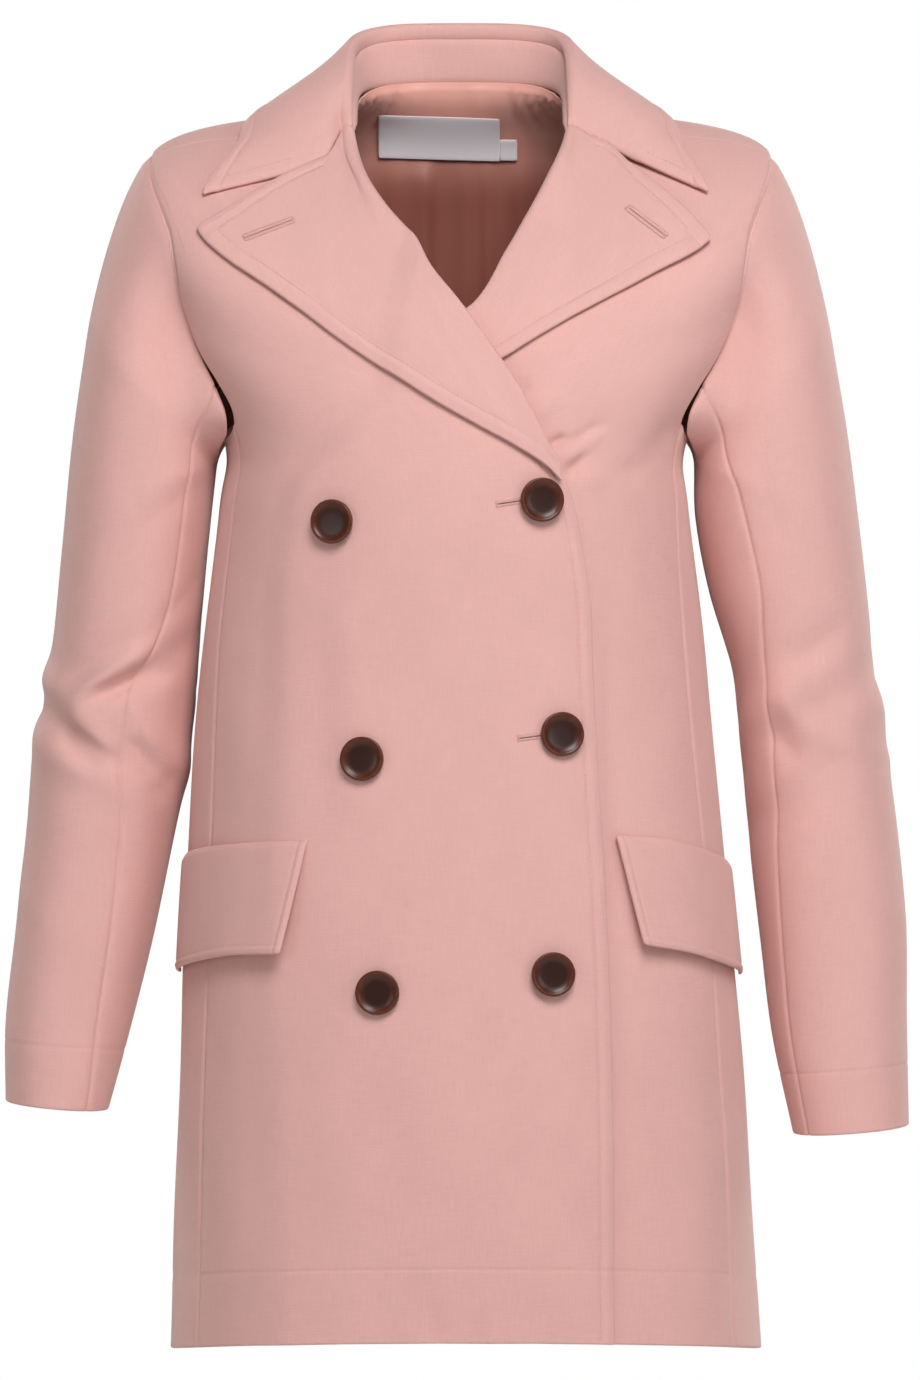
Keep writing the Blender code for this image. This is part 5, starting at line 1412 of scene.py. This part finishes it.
class JacketLining(bpy.types.Operator):
    """Back lining with its pleat, and the two blank labels"""
    bl_idname = "jacket.lining"
    bl_label = "Lining and labels"

    def execute(self, context):
        places = back_places(context.scene.jacket_making.mesh_step * LINING_STEP_SHARE / MM)
        over = np.maximum(places[..., 1] - NECK_RING + LINING_RISE_SPAN, 0.0)
        places[..., 1] += LINING_RISE * over / LINING_RISE_SPAN
        angle, ring = places[..., 0], places[..., 1]
        pleat_angle, pleat_half, pleat_height = LINING_PLEAT
        half = np.where(angle > pleat_angle, pleat_half, PLEAT_FOLD_HALF)
        raised = pleat_height * np.exp(-((angle - pleat_angle) / half) ** 2)
        for crest, half, height in LINING_FOLDS:
            raised = raised + height * np.exp(-((angle - crest) / half) ** 2)
        raised = raised * smoothstep((PLEAT_TOP_RING - ring) / PLEAT_TOP_SPAN)
        for crest, half, height, reach in LINING_GATHERS:
            below = (NECK_RING - ring) / reach
            raised = raised + height * np.exp(-((angle - crest) / half) ** 2 - below**2)
        sewn_in = smoothstep((NECK_RING + LINING_RISE - ring) / SEWN_IN_SPAN)
        raised = raised * (FLAT_SHARE + (1 - FLAT_SHARE) * sewn_in)
        inner = above(places, -(LINING_GAP * sewn_in + raised + LINING_THICKNESS))
        outer = above(places, -(LINING_GAP * sewn_in + raised * BACK_SHARE))
        surfaces["lining_back"] = inner, -grid_normals(inner, (0, 1, 0))
        piece = shell("lining_back_satin", "lining_back", outer, inner, [satin()])
        finish = context.scene.jacket_finish
        woven = satin_material("woven_label", finish.label, 0.36, 0.00025)
        labels = (("neck_label", *NECK_LABEL), ("size_label", *SIZE_LABEL))
        for name, middle_x, middle_z, width, height in labels:
            columns, rows = max(int(width / 2.0), 6), max(int(height / 2.0), 6)
            grid = []
            for z in np.linspace(middle_z - height / 2, middle_z + height / 2, rows + 1):
                line = []
                for x in np.linspace(middle_x - width / 2, middle_x + width / 2, columns + 1):
                    start = 180.0 - math.degrees(math.atan2(x, LABEL_START[0])), LABEL_START[1]
                    line.append(on_front(x, z - LABEL_TILT * x, start))
                grid.append(line)
            places = np.array(grid)
            depth = lift_none(places) - LABEL_DEPTH
            outer, inner = above(places, depth), above(places, depth - LABEL_THICKNESS)
            surfaces[name] = inner, -body_normal(places[..., 0], places[..., 1])
            shell(name + "_satin", name, outer, inner, [woven])
        return {"FINISHED"}


# ---------------------------------------------------------------- buttons

# Depth and middle of the disc, length of the shank, and the steps inwards from its rim over its
# face and its back: how far in, and how far the rest then moves up or down, mm
BUTTON_DEPTH, BUTTON_MIDDLE, SHANK_LENGTH = 3.4, 3.6, 1.6
BUTTON_FACE = ((1.7, 0.0), (1.2, -0.9), (3.4, -0.45), (3.6, -0.1))
BUTTON_BACK = ((3.0, -0.3), (7.2, 0.0))


def use(piece):
    """Makes one object the only one selected, and active."""
    bpy.ops.object.select_all(action="DESELECT")
    piece.select_set(True)
    bpy.context.view_layer.objects.active = piece


def pick_faces(piece, wanted):
    """Selects, in edit mode, the faces whose centre and normal pass a test."""
    bpy.ops.mesh.select_mode(type="FACE")
    bpy.ops.mesh.select_all(action="DESELECT")
    bpy.ops.object.mode_set(mode="OBJECT")
    for face in piece.data.polygons:
        face.select = wanted(face.center, face.normal)
    bpy.ops.object.mode_set(mode="EDIT")


def turned_button(radius):
    """Button at the origin: a rounded back, a raised rim and a hollow face on a short shank."""
    bpy.ops.object.select_all(action="DESELECT")
    bpy.ops.mesh.primitive_cylinder_add(
        vertices=72, radius=radius, depth=BUTTON_DEPTH * MM, location=(0, 0, BUTTON_MIDDLE * MM))
    piece = bpy.context.object
    bpy.ops.object.transform_apply(location=True)
    bpy.ops.object.mode_set(mode="EDIT")
    for up, steps in ((1, BUTTON_FACE), (-1, BUTTON_BACK)):
        pick_faces(piece, lambda centre, normal: up * normal.z > 0.9)
        for inset, move in steps:
            bpy.ops.mesh.inset(thickness=inset * MM)
            if move:
                bpy.ops.transform.translate(value=(0, 0, move * MM))
    bpy.ops.mesh.extrude_region_move(TRANSFORM_OT_translate={"value": (0, 0, -SHANK_LENGTH * MM)})
    bpy.ops.object.mode_set(mode="OBJECT")
    soft = piece.modifiers.new("soft edges", "BEVEL")
    soft.width = 0.75 * MM
    soft.segments = 4
    soft.limit_method = "ANGLE"
    soft.angle_limit = math.radians(30.0)
    use(piece)
    bpy.ops.object.modifier_apply(modifier=soft.name)
    bpy.ops.object.shade_smooth_by_angle(angle=math.radians(50.0))
    rim = piece.data.attributes.new("rim", "FLOAT", "POINT")
    reach = [Vector(vertex.co[:2]).length / radius for vertex in piece.data.vertices]
    rim.data.foreach_set("value", [float(smoothstep((r - 0.55) / 0.4)) for r in reach])
    return piece


class JacketButtons(bpy.types.Operator):
    """Six turned horn buttons"""
    bl_idname = "jacket.buttons"
    bl_label = "Buttons"

    def execute(self, context):
        finish, making = context.scene.jacket_finish, context.scene.jacket_making
        master = turned_button(making.button_radius)
        master.data.materials.append(horn_material(finish))
        for number, (x, z) in enumerate(BUTTON_PLACES, start=1):
            place = np.array(on_front(x, z, (x / BUTTON_START[0], BUTTON_START[1])))
            foot = above(place, lift_right(place) + WALL + SEAM_GAP)
            normal = Vector(body_normal(place[0], place[1]))
            piece = master.copy()
            piece.data = master.data.copy()
            piece.name = f"button_{number}_horn"
            bpy.context.scene.collection.objects.link(piece)
            turn = normal.to_track_quat("Z", "Y").to_matrix().to_4x4()
            turn.translation = Vector(foot * MM)
            piece.data.transform(turn)
            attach(piece, "root")
            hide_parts(f"button_{number}")
        bpy.data.objects.remove(master, do_unlink=True)
        return {"FINISHED"}


# ---------------------------------------------------------------- stitching

STITCH_GAP = 0.9
# Topstitching beside the armholes: (angle, ring) on the fronts
ARMHOLE_STITCH_RIGHT = (
    (-89.0, 7.02), (-78.0, 7.01), (-71.0, 6.90), (-66.8, 6.68), (-66.6, 6.45), (-68.2, 6.24),
)
ARMHOLE_STITCH_LEFT = ((89.0, 7.02), (80.0, 7.00), (75.0, 6.93), (71.0, 6.84))
# Buttonholes, mm across and up as seen from the front: panel, from, to
BUTTONHOLES = (
    ("front_right", (22.0, -240.0), (44.0, -236.5)),
    ("front_right", (35.0, -382.5), (54.0, -380.0)),
    ("front_right", (50.0, -524.5), (71.0, -524.0)),
    ("lapel_right", (-133.0, -74.0), (-103.0, -62.0)),
    ("lapel_left", (104.0, -54.0), (127.0, -73.0)),
)
# Stitches of a buttonhole, mm: reach of a lip from the slit, length and width of a stitch, rise
# above the cloth, width of the slit's painted shadow; their pitch, and where the stitches of an end bar lie
RAISED_HOLE, FLAT_HOLE = (1.5, 3.0, 0.95, 0.35, 0.3), (1.0, 2.0, 0.75, 0.12, 0.7)
HOLE_PITCH, BAR_OFFSETS = 0.55, (-1.8, -0.6, 0.6, 1.8)


def thread_bead():
    """Points and faces of one stitch: a small bead one long and one across, along X."""
    bpy.ops.object.select_all(action="DESELECT")
    bpy.ops.mesh.primitive_uv_sphere_add(segments=6, ring_count=5, radius=0.5)
    bead = bpy.context.object
    points = np.array([vertex.co[:] for vertex in bead.data.vertices])[:, [2, 0, 1]]
    faces = [list(face.vertices) for face in bead.data.polygons]
    bpy.data.objects.remove(bead, do_unlink=True)
    return points, faces


def sewn(name, centres, directions, normals, length, width, material):
    """One piece of many stitches, each a bead with its centre, direction and the cloth's normal."""
    points, faces = thread_bead()
    forward = unit(directions - normals * np.sum(directions * normals, axis=-1, keepdims=True))
    aside = np.cross(normals, forward)
    shape = points * (length, width, width)
    placed = (
        centres[:, None] + forward[:, None] * shape[None, :, 0:1]
        + aside[:, None] * shape[None, :, 1:2] + normals[:, None] * shape[None, :, 2:3]
    )
    count = len(points)
    all_faces = [[corner + k * count for corner in face] for k in range(len(centres)) for face in faces]
    mesh = bpy.data.meshes.new(name)
    mesh.from_pydata((placed.reshape(-1, 3) * MM).tolist(), [], all_faces)
    mesh.materials.append(material)
    mesh.shade_smooth()
    piece = bpy.data.objects.new(name, mesh)
    bpy.context.scene.collection.objects.link(piece)
    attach(piece, "root")
    return piece


def line_along(name, side, distance, others=()):
    """Line on a piece at a distance in mm from one of its sides, kept clear of some other sides."""
    outer, normals = surfaces[name]
    gaps = measure(outer)
    field = np.concatenate([outer, normals] + [gaps[key][..., None] for key, _least in others], axis=2)
    gap = gaps[side]
    if side in ("bottom", "top"):
        field, gap = field.transpose(1, 0, 2), gap.T
    if side in ("right", "top"):
        field, gap = field[:, ::-1], gap[:, ::-1]
    line = []
    for row, row_gaps in zip(field, gap):
        spot = float(np.interp(distance, row_gaps, np.arange(len(row_gaps))))
        k = min(int(spot), len(row_gaps) - 2)
        line.append(row[k] + (row[k + 1] - row[k]) * (spot - k))
    line = np.array(line)
    for number, (_key, least) in enumerate(others):
        line = line[line[:, 6 + number] >= least]
    return line[:, :3], unit(line[:, 3:6])


def resampled(points, normals, pitch):
    """Centres, directions and normals every pitch mm along a line."""
    keys = lengths_along(points)
    places = np.arange(pitch, keys[-1] - pitch, pitch)
    centres = straight(points, keys, places)
    return centres, np.gradient(centres, axis=0), unit(straight(normals, keys, places))


def on_surface(name, x, z):
    """Point and normal of a piece's outer face that shows at x and z from the front."""
    outer, normals = surfaces[name]
    points, upright = outer.reshape(-1, 3), normals.reshape(-1, 3)
    shown = upright[:, 1] < -0.3
    points, upright = points[shown], upright[shown]
    near = np.hypot(points[:, 0] - x, points[:, 2] - z)
    close = np.flatnonzero(near < near.min() + 3.0)
    best = close[np.argmin(points[close, 1] + 0.6 * near[close])]
    point, normal = points[best], upright[best]
    y = point[1] - ((x - point[0]) * normal[0] + (z - point[2]) * normal[2]) / normal[1]
    return np.array((x, y, z)), normal


def stitch_row(name, line, making, rise=0.08):
    """Row of stitches along a line on the cloth."""
    length, width = making.stitch_length / MM, 2 * making.thread_radius / MM
    centres, directions, normals = resampled(*line, length + STITCH_GAP)
    sewn(name, centres + normals * rise, directions, normals, length, width, thread())


def buttonhole(number, panel, start, end, making):
    """Worked buttonhole: close stitches across both lips of a slit, a bar at each end, and a dark bead
    along the slit as its painted shadow.
    """
    start, end = np.array(start), np.array(end)
    pairs = [on_surface(panel, *(start + (end - start) * t)) for t in np.linspace(0.0, 1.0, 25)]
    points, upright = np.array([p for p, _n in pairs]), np.array([n for _p, n in pairs])
    centres, directions, normals = resampled(points, upright, HOLE_PITCH)
    sides = unit(np.cross(normals, directions))
    lip, purl, bead, rise, slit = RAISED_HOLE if panel.startswith("lapel") else FLAT_HOLE
    bars = [k for k in (0, -1) for _offset in BAR_OFFSETS]
    bar_centres = centres[bars] + sides[bars] * np.tile(BAR_OFFSETS, 2)[:, None]
    places = np.concatenate((centres + sides * lip, centres - sides * lip, bar_centres))
    across = np.concatenate((sides, sides, unit(directions[bars])))
    facing = np.concatenate((normals, normals, normals[bars]))
    sewn(f"buttonhole_{number}", places + facing * rise, across, facing, purl, bead, thread())
    middle = [len(centres) // 2]
    span = float(np.linalg.norm(centres[-1] - centres[0]))
    # Painted shadow: a thin dark bead along the middle of the slit stands for the shade inside the cut
    dark = shared("slit_shadow", lambda: plain_material("slit_shadow", (0.10, 0.035, 0.03), 0.9))
    sewn(f"buttonhole_slit_shadow_{number}", centres[middle] + normals[middle] * 0.1,
         centres[[-1]] - centres[[0]], normals[middle], span, slit, dark)


class JacketStitching(bpy.types.Operator):
    """Topstitching of the edges and armholes, and the buttonholes"""
    bl_idname = "jacket.stitching"
    bl_label = "Stitching"

    def execute(self, context):
        making = context.scene.jacket_making
        edge = making.edge_stitch / MM
        leaf = edge + 1.0
        points, normals = line_along("front_right", "left", edge)
        below = points[:, 2] < BODY_RINGS[3, 0] + 78.0
        stitch_row("stitches_front_edge", (points[below], normals[below]), making)
        for side in ("right", "left"):
            name = f"lapel_{side}"
            stitch_row(f"stitches_{name}_edge", line_along(name, "right", leaf, (("top", leaf),)), making)
            limits = (("right", leaf), ("left", notch_gaps[name]))
            stitch_row(f"stitches_{name}_top", line_along(name, "top", leaf, limits), making)
        stitch_row("stitches_collar_edge",
                   line_along("collar_fall", "right", leaf, (("top", leaf), ("bottom", leaf))), making)
        for end in ("top", "bottom"):
            stitch_row(f"stitches_collar_{end}",
                       line_along("collar_fall", end, leaf, (("right", leaf), ("left", COLLAR_NOTCH_GAP))),
                       making)
        for side, table, lift in (("right", ARMHOLE_STITCH_RIGHT, lift_right),
                                  ("left", ARMHOLE_STITCH_LEFT, lift_none)):
            places = by_share(table, np.linspace(0.0, 1.0, 60))
            base = above(places, lift(places) + WALL)
            height = lift(places) + WALL + wave_height(base[None])[0]
            line = above(places, height), body_normal(places[:, 0], places[:, 1])
            stitch_row(f"stitches_armhole_{side}", line, making)
        for number, (panel, start, end) in enumerate(BUTTONHOLES, start=1):
            buttonhole(number, panel, start, end, making)
        return {"FINISHED"}


# ---------------------------------------------------------------- studio

IMAGE_LONG_SIDE, IMAGE_PIXEL, SENSOR = 1380, 0.00063, 36.0
# Soft lights: name, place, size, power as a share of the key light
LIGHTS = (
    ("key", (0.3, -1.95, 1.15), 1.1, 1.0),
    ("left", (-2.3, -2.4, 0.3), 1.2, 0.22),
    ("right", (2.3, -2.2, 0.3), 1.2, 0.28),
    ("back_left", (-2.2, 2.4, 0.8), 1.4, 0.95),
    ("back_right", (2.2, 2.4, 0.8), 1.4, 0.95),
)


def studio_air(strength):
    """World that lights the jacket softly and shows as white paper behind it."""
    world = bpy.data.worlds.new("studio_air")
    world.use_nodes = True
    tree = world.node_tree
    air = tree.nodes["Background"]
    air.inputs["Strength"].default_value = strength
    paper = add_node(tree, "ShaderNodeBackground", {"Color": (1.0, 1.0, 1.0, 1.0), "Strength": 1.0})
    seen = add_node(tree, "ShaderNodeLightPath").outputs["Is Camera Ray"]
    air.inputs["Color"].default_value = (1.0, 1.0, 1.0, 1.0)
    mix = add_node(tree, "ShaderNodeMixShader", {0: seen, 1: air.outputs[0], 2: paper.outputs[0]})
    tree.links.new(mix.outputs[0], tree.nodes["World Output"].inputs["Surface"])
    return world


class JacketStage(bpy.types.Operator):
    """Floor, soft lights and the camera"""
    bl_idname = "jacket.stage"
    bl_label = "Studio"

    def execute(self, context):
        studio = context.scene.jacket_studio
        bpy.ops.object.select_all(action="DESELECT")
        bpy.ops.mesh.primitive_plane_add(size=6.4, location=(0.0, 0.0, studio.floor_height))
        floor = bpy.context.object
        floor.name = "studio_floor"
        floor.data.materials.append(plain_material("studio_paper", (0.82, 0.82, 0.82), 0.9))
        aim = Vector((0.0, 0.0, studio.camera_height))
        for name, place, size, share in LIGHTS:
            bpy.ops.object.light_add(type="AREA", location=place)
            light = bpy.context.object
            light.name = f"light_{name}"
            light.data.size = size
            light.data.energy = studio.key_power * share
            light.rotation_euler = (aim - Vector(place)).to_track_quat("-Z", "Y").to_euler()
        context.scene.world = studio_air(studio.air_light)
        context.scene.view_settings.view_transform = "Standard"
        bpy.ops.object.camera_add(
            location=(0.0, -studio.camera_distance, studio.camera_height), rotation=(math.pi / 2, 0.0, 0.0))
        camera = bpy.context.object
        camera.data.lens = SENSOR * studio.camera_distance / (IMAGE_LONG_SIDE * IMAGE_PIXEL)
        context.scene.camera = camera
        return {"FINISHED"}


# ---------------------------------------------------------------- panel

OPERATORS = (
    JacketBody, JacketSleeves, JacketLapels, JacketCollar, JacketFlaps, JacketLining, JacketButtons,
    JacketStitching, JacketStage,
)
SETTINGS = (
    ("jacket_finish", JacketFinish), ("jacket_making", JacketMaking), ("jacket_studio", JacketStudio),
)


class JacketPanel(bpy.types.Panel):
    """Pieces and settings of the jacket"""
    bl_idname = "VIEW3D_PT_jacket"
    bl_label = "Jacket"
    bl_space_type = "VIEW_3D"
    bl_region_type = "UI"
    bl_category = "Jacket"

    def draw(self, context):
        for name, settings in SETTINGS:
            box = self.layout.box()
            for prop in settings.__annotations__:
                box.prop(getattr(context.scene, name), prop)
        for operator in OPERATORS:
            self.layout.operator(operator.bl_idname)


def register():
    """Adds the settings, the operators and the panel."""
    for name, settings in SETTINGS:
        bpy.utils.register_class(settings)
        setattr(bpy.types.Scene, name, bpy.props.PointerProperty(type=settings))
    for cls in (*OPERATORS, JacketPanel):
        bpy.utils.register_class(cls)


def unregister():
    """Takes them away again."""
    for cls in reversed((*OPERATORS, JacketPanel)):
        bpy.utils.unregister_class(cls)
    for name, settings in reversed(SETTINGS):
        delattr(bpy.types.Scene, name)
        bpy.utils.unregister_class(settings)


def main():
    """Builds every piece and the studio."""
    register()
    for operator in OPERATORS:
        group, action = operator.bl_idname.split(".")
        getattr(getattr(bpy.ops, group), action)()


if __name__ == "__main__":
    main()
